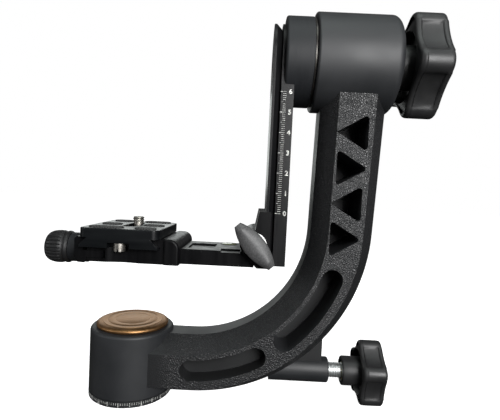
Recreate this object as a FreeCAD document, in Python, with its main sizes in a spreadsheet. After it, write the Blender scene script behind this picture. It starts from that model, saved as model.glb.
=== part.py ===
"""Gimbal tripod head, built as a FreeCAD document of separate named pieces.

Frame, in millimetres: Z is the pan axis and points up, the origin is the centre of the tripod face
under the pan base, X runs along the tilt axis towards the tilt knob, and -Y is the front, where the
centimetre scale and the paddle knob are. The rest pose has the platform at the foot of its rail.
"""
import FreeCAD, Part
import math
import os
import Sketcher
from FreeCAD import Placement, Rotation, Vector

# Driving dimensions: name, value in millimetres or degrees.
SIZES = [
    # pan base and spindle
    ("base_radius", 21.8), ("index_height", 3.2), ("spigot_radius", 8.0),
    ("tripod_thread_radius", 3.97), ("tripod_thread_depth", 14.0),
    ("spindle_radius", 8.5), ("spindle_flange_radius", 12.6), ("spindle_flange_top", 6.5),
    ("spindle_thread_radius", 6.0), ("spindle_top", 32.0),
    ("base_screw_circle", 10.4), ("base_screw_radius", 1.25), ("base_screw_head_radius", 2.2),
    ("pan_race_width", 5.0), ("pan_upper_race", 21.5), ("pan_bore_radius", 13.0),
    ("pan_pitch_radius", 10.75), ("pan_ball_radius", 1.2), ("pan_shoulder_radius", 12.0),
    ("pan_sleeve_radius", 10.5), ("ball_clearance", 0.05),
    ("pan_washer_radius", 10.0), ("pan_washer_thickness", 1.0), ("pan_nut_flats", 16.0),
    # arm casting
    ("arm_bottom", 3.5), ("housing_top", 35.9), ("housing_round", 1.5), ("arm_root", 9.0),
    ("bend_x", 33.0), ("bend_z", 94.0), ("inner_radius", 60.0), ("inner_front_radius", 67.5),
    ("outer_bend_x", 33.5), ("outer_bend_z", 95.0), ("outer_radius", 91.5), ("outer_front_radius", 84.7),
    ("inner_lean", 1.3), ("outer_lean", 2.4), ("arm_edge_half", 6.5), ("arm_half", 17.5),
    ("arm_leg_top", 176.0), ("pocket_floor_wall", 8.0), ("slot_b_depth", 21.0), ("slot_a_depth", 11.0),
    ("triangle_pitch", 17.6), ("triangle_top", 142.3), ("triangle_half_width", 7.8),
    ("triangle_half_height", 9.2), ("triangle_x", 109.4), ("triangle_drift", 0.68),
    ("triangle_flip", 1.45), ("triangle_round", 1.4),
    ("slot_radius", 75.0), ("slot_half", 5.4), ("slot_a_from", 1.1), ("slot_a_to", 27.0),
    ("slot_b_from", 40.0), ("slot_b_to", 70.2),
    ("web_half", 3.5), ("web_x", 103.0),
    # pan cap
    ("cap_spigot_radius", 15.0), ("cap_spigot_bottom", 33.2), ("cap_radius", 18.9), ("cap_top", 38.9),
    # pan lock
    ("pan_lock_z", 16.0), ("boss_radius", 6.7), ("boss_end", 107.0), ("lock_rod_radius", 4.0),
    ("thread_clearance", 0.05), ("plug_end", 26.0), ("passage_radius", 4.7), ("pan_thread_start", 90.0),
    ("pan_hub_start", 114.3), ("pan_hub_radius", 7.65), ("pan_knob_start", 123.0),
    ("pan_knob_end", 135.2), ("pan_knob_radius", 17.2), ("pan_valley_distance", 29.0),
    ("pan_valley_cutter", 15.8), ("pan_knob_phase", 18.0), ("insert_radius", 5.2),
    # tilt housing, shaft and bearings
    ("tilt_z", 179.7), ("tilt_housing_start", 89.8), ("tilt_housing_end", 131.3),
    ("tilt_housing_radius", 25.2), ("tilt_bore_radius", 15.0), ("tilt_shoulder_radius", 12.2),
    ("tilt_race_width", 7.0), ("tilt_inner_race_x", 92.3), ("tilt_outer_race_x", 110.0),
    ("tilt_pitch_radius", 11.75), ("tilt_ball_radius", 1.7),
    ("shaft_radius", 8.5), ("shaft_thread_radius", 7.0), ("shaft_head_radius", 13.0),
    ("shaft_head_thickness", 4.0), ("shaft_end", 124.5), ("tilt_spacer_radius", 10.4),
    ("tilt_nut_flats", 21.0), ("flange_screw_circle", 10.9),
    # tilt drum, friction washer and rail
    ("drum_radius", 22.8), ("drum_start", 74.8), ("drum_end", 88.4), ("friction_radius", 22.4),
    ("rail_half", 16.8), ("rail_start", 69.0), ("rail_lip", 1.2), ("rail_groove", 3.1),
    ("rail_end", 79.65), ("rail_bottom", 74.15), ("fit_gap", 0.05), ("rail_screw_offset", 7.5),
    ("rail_screw_drop", 14.5), ("rail_crown", 2.0),
    # tilt lock
    ("cover_radius", 19.0), ("cover_start", 127.4), ("cover_boss_end", 133.5),
    ("cover_boss_radius", 11.0), ("cover_screw_circle", 17.0), ("cover_screw_radius", 1.0),
    ("cover_screw_head_radius", 1.7), ("cover_screw_head_depth", 1.5), ("cover_screw_length", 5.0),
    ("pad_radius", 8.0), ("pad_end", 126.6), ("pad_room_radius", 9.0), ("pad_room_end", 129.3),
    ("tilt_hub_start", 134.3), ("tilt_hub_radius", 11.5), ("tilt_knob_start", 137.6),
    ("tilt_knob_end", 153.8), ("tilt_knob_radius", 27.0), ("tilt_valley_distance", 47.2),
    ("tilt_valley_cutter", 26.4), ("tilt_knob_phase", -7.5),
    # platform
    ("platform_bottom", 73.0), ("platform_top", 80.7), ("platform_half", 16.5),
    ("clamp_floor", 80.4), ("clamp_half", 21.0), ("clamp_start", -18.0), ("fixed_jaw_start", 19.6),
    ("fixed_jaw_end", 26.6), ("fixed_jaw_half", 22.3), ("fixed_jaw_top", 85.7),
    ("leg_top", 101.3), ("leg_back", 68.7), ("hook_end", 71.4), ("jaw_front", 21.0),
    ("jaw_split", 9.4), ("paddle_x", 64.0), ("paddle_z", 85.0), ("boss_round", 7.2),
    ("level_x", 49.9), ("level_y", 11.0), ("level_radius", 5.1), ("vial_radius", 4.2),
    # paddle
    ("paddle_screw_radius", 3.0), ("paddle_half_length", 13.1), ("paddle_half_width", 4.95),
    ("paddle_tip_half", 1.75), ("paddle_back", 24.6), ("paddle_face", 29.2), ("paddle_turn", 51.5),
    ("paddle_washer_radius", 5.9), ("spring_radius", 4.2), ("spring_wire", 0.45),
    ("spring_length", 4.8),
    # camera plate and its clamp
    ("plate_x", -1.75), ("plate_tip", 19.0), ("plate_neck", 15.2), ("plate_slab", 19.4),
    ("plate_bottom", 80.5), ("plate_tip_top", 81.5), ("plate_neck_z", 85.3), ("plate_top", 90.0),
    ("plate_half_length", 25.0), ("plate_corner", 3.5), ("stop_screw_y", 21.9),
    ("camera_screw_radius", 3.175), ("camera_screw_y", 10.0), ("camera_screw_top", 93.9),
    ("camera_neck_radius", 2.6), ("camera_neck_top", 90.7),
    ("clamp_jaw_left", -24.4), ("clamp_screw_z", 76.5), ("clamp_screw_radius", 2.5),
    ("clamp_knob_left", -49.3), ("clamp_knob_radius", 8.75), ("clamp_collar_radius", 7.8),
]

doc = FreeCAD.newDocument("GimbalHead")
sheet = doc.addObject("Spreadsheet::Sheet", "Sizes")
for row, (alias, number) in enumerate(SIZES, 1):
    sheet.set("A%d" % row, alias)
    sheet.set("B%d" % row, str(number))
    sheet.setAlias("B%d" % row, alias)
doc.recompute()


class Dim:
    """A length that carries its value and the spreadsheet expression that it comes from."""

    def __init__(self, text, value):
        self.text = text
        self.value = value

    def __add__(self, other):
        other = dim(other)
        return Dim("(%s + %s)" % (self.text, other.text), self.value + other.value)

    def __sub__(self, other):
        other = dim(other)
        return Dim("(%s - %s)" % (self.text, other.text), self.value - other.value)

    def __mul__(self, factor):
        factor = dim(factor)
        return Dim("(%s * %s)" % (self.text, factor.text), self.value * factor.value)

    def __rsub__(self, other):
        return dim(other) - self

    def __neg__(self):
        return Dim("(0 - %s)" % self.text, -self.value)

    __radd__ = __add__
    __rmul__ = __mul__


def dim(number):
    """A plain number as a Dim."""
    if isinstance(number, Dim):
        return number
    if number < 0:
        return Dim("(0 - %s)" % repr(-float(number)), float(number))
    return Dim(repr(float(number)), float(number))


def sine(angle):
    return Dim("sin(%s * 1 deg)" % angle.text, math.sin(math.radians(angle.value)))


def cosine(angle):
    return Dim("cos(%s * 1 deg)" % angle.text, math.cos(math.radians(angle.value)))


class Cells:
    """The spreadsheet's cells by name, such as s.base_radius."""

    def __getattr__(self, name):
        return Dim("Sizes." + name, float(sheet.get(name)))


s = Cells()
pieces = []


def keep(piece):
    """Count an object as one finished piece of the head, named by its label."""
    pieces.append(piece)
    return piece


def bind(thing, target, length):
    """Bind a property, such as Length or Placement.Base.x, to a dimension."""
    thing.setExpression(target, dim(length).text)


def place(thing, x=0.0, y=0.0, z=0.0, turn=Rotation()):
    """Put a piece at x, y, z, bound to the sheet, turned by a rotation."""
    thing.Placement = Placement(Vector(dim(x).value, dim(y).value, dim(z).value), turn)
    for letter, length in (("x", x), ("y", y), ("z", z)):
        if isinstance(length, Dim):
            bind(thing, "Placement.Base." + letter, length)
    return thing


# ---------------------------------------------------------------- sketches and part design features

def new_body(label):
    body = doc.addObject("PartDesign::Body", label)
    body.Label = label
    return body


def new_sketch(body, role, offset=0.0):
    """A sketch on one of the body's own origin planes, moved along the plane's normal."""
    sketch = body.newObject("Sketcher::SketchObject", body.Name + "_sketch")
    plane = [item for item in body.Origin.OriginFeatures if item.Role == role][0]
    sketch.AttachmentSupport = [(plane, "")]
    sketch.MapMode = "FlatFace"
    sketch.AttachmentOffset = Placement(Vector(0, 0, dim(offset).value), Rotation())
    bind(sketch, "AttachmentOffset.Base.z", offset)
    return sketch


def fix_point(sketch, shape, point, x, y):
    """Hold a point of a sketch at x, y."""
    for kind, axis, length in (("DistanceX", -2, dim(x)), ("DistanceY", -1, dim(y))):
        if abs(length.value) < 1e-9:
            sketch.addConstraint(Sketcher.Constraint("PointOnObject", shape, point, axis))
            continue
        number = sketch.addConstraint(Sketcher.Constraint(kind, -1, 1, shape, point, length.value))
        sketch.setExpression("Constraints[%d]" % number, length.text)


def fix_radius(sketch, shape, radius):
    number = sketch.addConstraint(Sketcher.Constraint("Radius", shape, dim(radius).value))
    sketch.setExpression("Constraints[%d]" % number, dim(radius).text)


def fix_angle(sketch, shape, degrees):
    """Hold the direction of a line, in degrees from the sketch's horizontal."""
    number = sketch.addConstraint(Sketcher.Constraint("Angle", shape, math.radians(degrees.value)))
    sketch.setExpression("Constraints[%d]" % number, degrees.text + " * 1 deg")


def flat(x, y):
    """A point of a sketch's plane as a vector."""
    return Vector(dim(x).value, dim(y).value, 0)


def draw_polygon(sketch, points):
    """A closed outline of straight lines."""
    first = sketch.GeometryCount
    total = len(points)
    for index in range(total):
        start = flat(*points[index])
        end = flat(*points[(index + 1) % total])
        sketch.addGeometry(Part.LineSegment(start, end), False)
    for index in range(total):
        after = first + (index + 1) % total
        sketch.addConstraint(Sketcher.Constraint("Coincident", first + index, 2, after, 1))
        fix_point(sketch, first + index, 1, *points[index])


def draw_circle(sketch, x, y, radius):
    number = sketch.addGeometry(Part.Circle(flat(x, y), Vector(0, 0, 1), dim(radius).value), False)
    fix_point(sketch, number, 3, x, y)
    fix_radius(sketch, number, radius)


def draw_box(sketch, x1, y1, x2, y2):
    draw_polygon(sketch, [(x1, y1), (x2, y1), (x2, y2), (x1, y2)])


def arc(x, y, radius, start, end):
    """An arc of a sketch, from one angle to another in degrees, anticlockwise."""
    ring = Part.Circle(flat(x, y), Vector(0, 0, 1), dim(radius).value)
    return Part.ArcOfCircle(ring, math.radians(start), math.radians(end))


def feature(body, kind, sketch):
    made = body.newObject("PartDesign::" + kind, body.Name + "_" + kind.lower())
    made.Profile = sketch
    sketch.Visibility = False
    return made


def pad(body, sketch, length, both_ways=False, backwards=False):
    made = feature(body, "Pad", sketch)
    bind(made, "Length", length)
    made.Midplane = both_ways
    made.Reversed = backwards
    return made


def pocket(body, sketch, length, both_ways=False, backwards=False):
    """Cut a sketch into a body, and refuse a cut that removes nothing."""
    doc.recompute()
    before = body.Shape.Volume
    made = feature(body, "Pocket", sketch)
    bind(made, "Length", length)
    made.Midplane = both_ways
    made.Reversed = backwards
    doc.recompute()
    if before - body.Shape.Volume < 0.01:
        raise RuntimeError(body.Label + ": a pocket cuts nothing")
    return made


def turn(body, sketch, kind="Revolution", axis="V_Axis"):
    """Revolve a sketch about one of its axes, as a Revolution or a Groove."""
    made = feature(body, kind, sketch)
    made.ReferenceAxis = (sketch, [axis])
    made.Angle = 360.0
    return made


def ring_pattern(body, original, axis_role, count):
    """Repeat a feature round one of the body's own axes."""
    made = body.newObject("PartDesign::PolarPattern", body.Name + "_pattern")
    made.Originals = [original]
    axis = [item for item in body.Origin.OriginFeatures if item.Role == axis_role][0]
    made.Axis = (axis, [""])
    made.Angle = 360.0
    made.Occurrences = count
    body.Tip = made
    return made


def round_edges(body, radius, wanted):
    """Fillet the edges that a test picks."""
    doc.recompute()
    names = ["Edge%d" % (number + 1) for number, edge in enumerate(body.Shape.Edges) if wanted(edge)]
    if not names:
        raise RuntimeError(body.Label + ": no edge to round")
    base = body.Tip
    made = body.newObject("PartDesign::Fillet", body.Name + "_fillet")
    made.Base = (base, names)
    made.Radius = radius
    body.Tip = made
    return made


def on_circle(radius, position, axis):
    """A test for a full round edge of a radius at a place along X, Y or Z (0, 1 or 2)."""
    def wanted(edge):
        curve = edge.Curve
        if not isinstance(curve, Part.Circle) or abs(curve.Radius - radius) > 0.01:
            return False
        return abs(curve.Center[axis] - position) < 0.01
    return wanted


TURNED = {"z": ("XZ_Plane", "V_Axis"), "x": ("XZ_Plane", "H_Axis"), "y": ("XY_Plane", "V_Axis")}


def turned(label, axis, profile):
    """A turned piece: profile is (radius, height) about z or y, and (position, radius) about x."""
    body = new_body(label)
    role, line = TURNED[axis]
    sketch = new_sketch(body, role)
    draw_polygon(sketch, profile)
    turn(body, sketch, axis=line)
    return keep(body)


def tube(label, axis, inner, outer, start, end):
    """A plain ring or sleeve."""
    if axis == "x":
        return turned(label, axis, [(start, inner), (end, inner), (end, outer), (start, outer)])
    return turned(label, axis, [(inner, start), (outer, start), (outer, end), (inner, end)])


# ------------------------------------------------------------------------ primitives and booleans

ALONG = {"z": Rotation(), "x": Rotation(Vector(0, 1, 0), 90), "-y": Rotation(Vector(1, 0, 0), 90)}


def rod(name, radius, length, x=0.0, y=0.0, z=0.0, along="z"):
    """A round bar that starts at x, y, z and runs along an axis."""
    made = doc.addObject("Part::Cylinder", name)
    bind(made, "Radius", radius)
    bind(made, "Height", length)
    return place(made, x, y, z, ALONG[along])


def hexagon(name, flats, length, x=0.0, y=0.0, z=0.0, along="z"):
    made = doc.addObject("Part::Prism", name)
    made.Polygon = 6
    bind(made, "Circumradius", dim(flats) * (0.5 / math.cos(math.radians(30))))
    bind(made, "Height", length)
    return place(made, x, y, z, ALONG[along])


def cut(name, base, tool):
    made = doc.addObject("Part::Cut", name)
    made.Base = base
    made.Tool = tool
    made.Label = name
    return made


def fuse(name, shapes):
    made = doc.addObject("Part::MultiFuse", name)
    made.Shapes = shapes
    made.Label = name
    return made


def group(name, members):
    """Like pieces that share one node, each its own solid."""
    made = doc.addObject("Part::Compound", name)
    made.Links = members
    made.Label = name
    return keep(made)


def cap_screw(name, shank_radius, shank_length, head_radius, head_height, x, y, z, along):
    """A socket-head screw: the head starts at x, y, z and the shank runs on along the axis."""
    step = {"z": (0, 0, 1), "x": (1, 0, 0), "-y": (0, -1, 0)}[along]
    reach = dim(head_height)
    shank_at = [dim(value) + reach * way if way else value for value, way in zip((x, y, z), step)]
    head = rod(name + "_head", head_radius, head_height, x, y, z, along)
    shank = rod(name + "_shank", shank_radius, shank_length, *shank_at, along=along)
    socket = hexagon(name + "_socket", dim(head_radius) * 1.0, dim(head_height) * 0.6, x, y, z, along)
    return cut(name, fuse(name + "_blank", [head, shank]), socket)


# ------------------------------------------------------------------------------- ball bearings

def bearing(prefix, names, axis, base_z, start, width, bore, outside, pitch, ball, count):
    """Two races with a ball groove, and a ring of balls, about Z or about X at base_z."""
    middle = start + width * 0.5
    half_gap = ball * 0.55
    groove = ball + s.ball_clearance
    for name, low, high in ((names[0], bore, pitch - half_gap), (names[1], pitch + half_gap, outside)):
        race = tube(prefix + name, axis, low, high, start, start + width)
        place(race, z=base_z)
        sketch = new_sketch(race, TURNED[axis][0])
        centre = (middle, pitch) if axis == "x" else (pitch, middle)
        draw_circle(sketch, centre[0], centre[1], groove)
        turn(race, sketch, "Groove", TURNED[axis][1])
    balls = []
    for number in range(count):
        angle = Dim("(360 * %d / %d)" % (number, count), 360.0 * number / count)
        made = doc.addObject("Part::Sphere", "%sball_%d" % (prefix, number))
        bind(made, "Radius", ball)
        if axis == "x":
            place(made, middle, pitch * cosine(angle), base_z + pitch * sine(angle))
        else:
            place(made, pitch * cosine(angle), pitch * sine(angle), middle)
        balls.append(made)
    group(prefix + "balls", balls)


# ------------------------------------------------------------------------------------- pan base

def pan_base():
    """Graduated base disc with the spindle, its nut and the parts that stay still with the tripod."""
    angles = [Dim("(120 * %d + 30)" % number, 120.0 * number + 30) for number in range(3)]
    spots = [(s.base_screw_circle * cosine(angle), s.base_screw_circle * sine(angle))
             for angle in angles]

    disc = tube("base_plate", "z", s.spigot_radius, s.base_radius, 0.0, s.index_height)
    holes = new_sketch(disc, "XY_Plane")
    recesses = new_sketch(disc, "XY_Plane")
    for x, y in spots:
        draw_circle(holes, x, y, s.base_screw_radius)
        draw_circle(recesses, x, y, s.base_screw_head_radius)
    pocket(disc, holes, s.index_height, backwards=True)
    pocket(disc, recesses, 2.0, backwards=True)
    round_edges(disc, 0.4, on_circle(s.base_radius.value, 0.0, 2))

    spindle = turned("pan_spindle", "z", [
        (s.tripod_thread_radius, 0.0), (s.spigot_radius, 0.0), (s.spigot_radius, s.index_height),
        (s.spindle_flange_radius, s.index_height), (s.spindle_flange_radius, s.spindle_flange_top),
        (s.spindle_radius, s.spindle_flange_top), (s.spindle_radius, s.pan_upper_race + s.pan_race_width),
        (s.spindle_thread_radius, s.pan_upper_race + s.pan_race_width),
        (s.spindle_thread_radius, s.spindle_top), (0.0, s.spindle_top),
        (0.0, s.tripod_thread_depth), (s.tripod_thread_radius, s.tripod_thread_depth)])
    threads = new_sketch(spindle, "XY_Plane")
    for x, y in spots:
        draw_circle(threads, x, y, s.base_screw_radius)
    pocket(spindle, threads, s.spindle_flange_top, backwards=True)

    screws = [cap_screw("base_screw_%d" % number, s.base_screw_radius, 4.2, s.base_screw_head_radius,
                        1.6, x, y, 0.4, "z") for number, (x, y) in enumerate(spots)]
    group("base_screws", screws)

    sleeve_start = s.spindle_flange_top + s.pan_race_width
    tube("pan_brake_sleeve", "z", s.spindle_radius, s.pan_sleeve_radius, sleeve_start, s.pan_upper_race)
    washer_start = s.pan_upper_race + s.pan_race_width
    tube("pan_spindle_washer", "z", s.spindle_thread_radius, s.pan_washer_radius,
         washer_start, washer_start + s.pan_washer_thickness)
    nut_start = washer_start + s.pan_washer_thickness
    nut = hexagon("pan_nut_blank", s.pan_nut_flats, 4.0, z=nut_start)
    hole = rod("pan_nut_hole", s.spindle_thread_radius, 4.0, z=nut_start)
    keep(cut("pan_spindle_nut", nut, hole))

    for prefix, start in (("pan_lower_", s.spindle_flange_top), ("pan_upper_", s.pan_upper_race)):
        bearing(prefix, ("inner_race", "outer_race"), "z", 0.0, start, s.pan_race_width,
                s.spindle_radius, s.pan_bore_radius, s.pan_pitch_radius, s.pan_ball_radius, 16)


# ----------------------------------------------------------------------------------- arm casting

def arm_section(body, offset, inner, outer_x, outer_z, outer):
    """The J outline of the arm: level foot, quarter bend and a leg that leans out as it rises."""
    sketch = new_sketch(body, "XZ_Plane", offset)
    foot_top = s.bend_z - inner
    foot_bottom = outer_z - outer
    leg = s.arm_leg_top
    reach_in = s.bend_x.value + inner.value
    reach_out = outer_x.value + outer.value
    outline = [
        Part.LineSegment(flat(s.arm_root, foot_bottom), flat(s.arm_root, foot_top)),
        Part.LineSegment(flat(s.arm_root, foot_top), flat(s.bend_x, foot_top)),
        arc(s.bend_x, s.bend_z, inner, -90, -s.inner_lean.value),
        Part.LineSegment(Vector(reach_in, s.bend_z.value, 0), Vector(reach_in + 1.8, leg.value, 0)),
        Part.LineSegment(Vector(reach_in + 1.8, leg.value, 0), Vector(reach_out + 3, leg.value, 0)),
        Part.LineSegment(Vector(reach_out + 3, leg.value, 0), Vector(reach_out, outer_z.value, 0)),
        arc(outer_x, outer_z, outer, -90, -s.outer_lean.value),
        Part.LineSegment(flat(outer_x, foot_bottom), flat(s.arm_root, foot_bottom)),
    ]
    sketch.addGeometry(outline, False)
    joints = [(0, 2, 1, 1), (3, 2, 4, 1), (4, 2, 5, 1), (7, 2, 0, 1)]
    for first, end, second, start in joints:
        sketch.addConstraint(Sketcher.Constraint("Coincident", first, end, second, start))
    for first, end, second, start in [(1, 2, 2, 1), (2, 2, 3, 1), (5, 2, 6, 2), (6, 1, 7, 1)]:
        sketch.addConstraint(Sketcher.Constraint("Tangent", first, end, second, start))
    for number in (1, 4, 7):
        sketch.addConstraint(Sketcher.Constraint("Horizontal", number))
    sketch.addConstraint(Sketcher.Constraint("Vertical", 0))
    fix_point(sketch, 2, 3, s.bend_x, s.bend_z)
    fix_radius(sketch, 2, inner)
    fix_point(sketch, 6, 3, outer_x, outer_z)
    fix_radius(sketch, 6, outer)
    fix_angle(sketch, 3, 90 - s.inner_lean)
    root = sketch.addConstraint(Sketcher.Constraint("DistanceX", -1, 1, 0, 1, s.arm_root.value))
    sketch.setExpression("Constraints[%d]" % root, s.arm_root.text)
    top = sketch.addConstraint(Sketcher.Constraint("DistanceY", -1, 1, 3, 2, leg.value))
    sketch.setExpression("Constraints[%d]" % top, leg.text)
    fix_angle(sketch, 5, -90 - s.outer_lean)
    return sketch


def draw_curved_slot(sketch, start, end):
    """A round-ended slot that follows the bend, between two angles counted from straight down."""
    low = s.slot_radius - s.slot_half
    high = s.slot_radius + s.slot_half
    first = sketch.GeometryCount
    ends = []
    for angle in (start, end):
        ends.append((s.bend_x + s.slot_radius * sine(angle), s.bend_z - s.slot_radius * cosine(angle)))
    turn_start = start.value - 90
    turn_end = end.value - 90
    sketch.addGeometry([
        arc(s.bend_x, s.bend_z, low, turn_start, turn_end),
        arc(ends[1][0], ends[1][1], s.slot_half, turn_end, turn_end + 180),
        arc(s.bend_x, s.bend_z, high, turn_start, turn_end),
        arc(ends[0][0], ends[0][1], s.slot_half, turn_start - 180, turn_start),
    ], False)
    inner, far_end, outer, near_end = range(first, first + 4)
    for one, point, other, meet in ((inner, 2, far_end, 2), (far_end, 1, outer, 2),
                                    (outer, 1, near_end, 2), (near_end, 1, inner, 1)):
        sketch.addConstraint(Sketcher.Constraint("Tangent", one, point, other, meet))
    fix_point(sketch, inner, 3, s.bend_x, s.bend_z)
    sketch.addConstraint(Sketcher.Constraint("Coincident", inner, 3, outer, 3))
    fix_radius(sketch, inner, low)
    fix_radius(sketch, far_end, s.slot_half)
    for number, centre in ((far_end, ends[1]), (near_end, ends[0])):
        held = sketch.addConstraint(Sketcher.Constraint("DistanceX", -1, 1, number, 3, centre[0].value))
        sketch.setExpression("Constraints[%d]" % held, centre[0].text)


def cover_screw_spots():
    """Places of the three end cover screws, across and up from the tilt axis."""
    angles = [Dim("(120 * %d + 90)" % number, 120.0 * number + 90) for number in range(3)]
    return [(s.cover_screw_circle * cosine(angle), s.cover_screw_circle * sine(angle))
            for angle in angles]


def arm_casting():
    """One aluminium casting: pan housing, bevelled J beam with pockets, lock boss and tilt housing."""
    arm = keep(new_body("arm"))
    wide = [(-s.arm_edge_half), s.arm_edge_half]
    narrow = [-s.arm_half, s.arm_half]
    sections = [
        arm_section(arm, narrow[0], s.inner_front_radius, s.bend_x, s.bend_z, s.outer_front_radius),
        arm_section(arm, wide[0], s.inner_radius, s.outer_bend_x, s.outer_bend_z, s.outer_radius),
        arm_section(arm, wide[1], s.inner_radius, s.outer_bend_x, s.outer_bend_z, s.outer_radius),
        arm_section(arm, narrow[1], s.inner_front_radius, s.bend_x, s.bend_z, s.outer_front_radius),
    ]
    beam = feature(arm, "AdditiveLoft", sections[0])
    beam.Sections = [(sketch, [""]) for sketch in sections[1:]]
    beam.Ruled = True

    web = new_sketch(arm, "XZ_Plane")
    draw_polygon(web, [(78.0, s.pan_lock_z), (s.web_x, s.pan_lock_z), (s.web_x, 40.0), (82.0, 40.0)])
    pad(arm, web, s.web_half * 2, both_ways=True)

    housing = new_sketch(arm, "XZ_Plane")
    draw_box(housing, 0.0, s.arm_bottom, s.base_radius, s.housing_top)
    turn(arm, housing)

    tilt_axis_line = Part.LineSegment(flat(60, s.tilt_z), flat(140, s.tilt_z))
    lock_axis_line = Part.LineSegment(flat(5, s.pan_lock_z), flat(120, s.pan_lock_z))

    def about_line(line, height, points, kind):
        """Revolve an outline about a level line at a height."""
        sketch = new_sketch(arm, "XZ_Plane")
        axis = sketch.addGeometry(line, True)
        fix_point(sketch, axis, 1, line.StartPoint.x, height)
        fix_point(sketch, axis, 2, line.EndPoint.x, height)
        draw_polygon(sketch, points)
        return turn(arm, sketch, kind, "Axis0")

    top = s.tilt_z + s.tilt_housing_radius
    about_line(tilt_axis_line, s.tilt_z, [
        (s.tilt_housing_start, s.tilt_z), (s.tilt_housing_end, s.tilt_z),
        (s.tilt_housing_end, top), (s.tilt_housing_start, top)], "Revolution")
    about_line(lock_axis_line, s.pan_lock_z, [
        (s.slot_radius, s.pan_lock_z), (s.boss_end, s.pan_lock_z),
        (s.boss_end, s.pan_lock_z + s.boss_radius), (s.slot_radius, s.pan_lock_z + s.boss_radius)],
        "Revolution")

    round_edges(arm, 4.0, on_circle(s.tilt_housing_radius.value, s.tilt_housing_end.value, 0))
    round_edges(arm, 1.2, on_circle(s.tilt_housing_radius.value, s.tilt_housing_start.value, 0))
    round_edges(arm, s.housing_round.value, on_circle(s.base_radius.value, s.housing_top.value, 2))
    round_edges(arm, 1.0, on_circle(s.boss_radius.value, s.boss_end.value, 0))

    triangles = new_sketch(arm, "XZ_Plane", s.arm_half)
    for number in range(4):
        odd = number % 2
        middle = s.triangle_x - s.triangle_drift * number + s.triangle_flip * odd
        level = s.triangle_top - s.triangle_pitch * number
        apex = middle + s.triangle_half_width * (2 * odd - 1)
        back = middle - s.triangle_half_width * (2 * odd - 1)
        draw_polygon(triangles, [(apex, level), (back, level + s.triangle_half_height),
                                 (back, level - s.triangle_half_height)])
    triangle_depth = s.arm_half * 2 - s.pocket_floor_wall
    pocket(arm, triangles, triangle_depth)

    def triangle_corner(edge):
        if len(edge.Vertexes) < 2:
            return False
        ends = [vertex.Point for vertex in edge.Vertexes]
        along_y = abs(ends[0].x - ends[1].x) < 0.01 and abs(ends[0].z - ends[1].z) < 0.01
        return along_y and abs(edge.Length - triangle_depth.value) < 0.01 and ends[0].z > 75
    round_edges(arm, s.triangle_round.value, triangle_corner)

    for depth, start, end in ((s.slot_a_depth, s.slot_a_from, s.slot_a_to),
                              (s.slot_b_depth, s.slot_b_from, s.slot_b_to)):
        slot = new_sketch(arm, "XZ_Plane", s.arm_half)
        draw_curved_slot(slot, start, end)
        pocket(arm, slot, depth)

    lower_top = s.spindle_flange_top + s.pan_race_width
    pan_bore = new_sketch(arm, "XZ_Plane")
    draw_polygon(pan_bore, [
        (0.0, s.arm_bottom), (s.pan_bore_radius, s.arm_bottom), (s.pan_bore_radius, lower_top),
        (s.pan_shoulder_radius, lower_top), (s.pan_shoulder_radius, s.pan_upper_race),
        (s.pan_bore_radius, s.pan_upper_race), (s.pan_bore_radius, s.cap_spigot_bottom),
        (s.cap_spigot_radius, s.cap_spigot_bottom), (s.cap_spigot_radius, s.housing_top),
        (0.0, s.housing_top)])
    turn(arm, pan_bore, "Groove")

    def up(radius):
        return s.tilt_z + radius

    inner_end = s.tilt_inner_race_x + s.tilt_race_width
    about_line(tilt_axis_line, s.tilt_z, [
        (s.tilt_housing_start, s.tilt_z), (s.tilt_housing_end, s.tilt_z),
        (s.tilt_housing_end, up(s.cover_radius)), (s.cover_start, up(s.cover_radius)),
        (s.cover_start, up(s.tilt_bore_radius)), (s.tilt_outer_race_x, up(s.tilt_bore_radius)),
        (s.tilt_outer_race_x, up(s.tilt_shoulder_radius)), (inner_end, up(s.tilt_shoulder_radius)),
        (inner_end, up(s.tilt_bore_radius)), (s.tilt_housing_start, up(s.tilt_bore_radius))], "Groove")

    def over(radius):
        return s.pan_lock_z + radius

    rod_hole = s.lock_rod_radius + s.thread_clearance
    about_line(lock_axis_line, s.pan_lock_z, [
        (10.0, s.pan_lock_z), (s.boss_end, s.pan_lock_z), (s.boss_end, over(rod_hole)),
        (s.pan_thread_start, over(rod_hole)), (s.pan_thread_start, over(s.passage_radius)),
        (s.plug_end + 4, over(s.passage_radius)), (s.plug_end + 4, over(rod_hole)),
        (10.0, over(rod_hole))], "Groove")

    taps = new_sketch(arm, "YZ_Plane", s.cover_start)
    for y, z in cover_screw_spots():
        draw_circle(taps, y, s.tilt_z + z, s.cover_screw_radius)
    pocket(arm, taps, s.cover_screw_length)

    cap = turned("pan_cap", "z", [
        (0.0, s.cap_spigot_bottom), (s.cap_spigot_radius, s.cap_spigot_bottom),
        (s.cap_spigot_radius, s.housing_top), (s.cap_radius - 1.5, s.housing_top),
        (s.cap_radius, s.housing_top + 1.1), (s.cap_radius, s.cap_top - 1.4),
        (s.cap_radius - 2.6, s.cap_top - 0.3), (13.9, s.cap_top), (13.5, s.cap_top - 0.3),
        (13.1, s.cap_top), (0.0, s.cap_top)])
    round_edges(cap, 0.35, on_circle(s.cap_radius.value, s.cap_top.value - 1.4, 2))


# --------------------------------------------------------------------------------- knobs and locks

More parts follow.
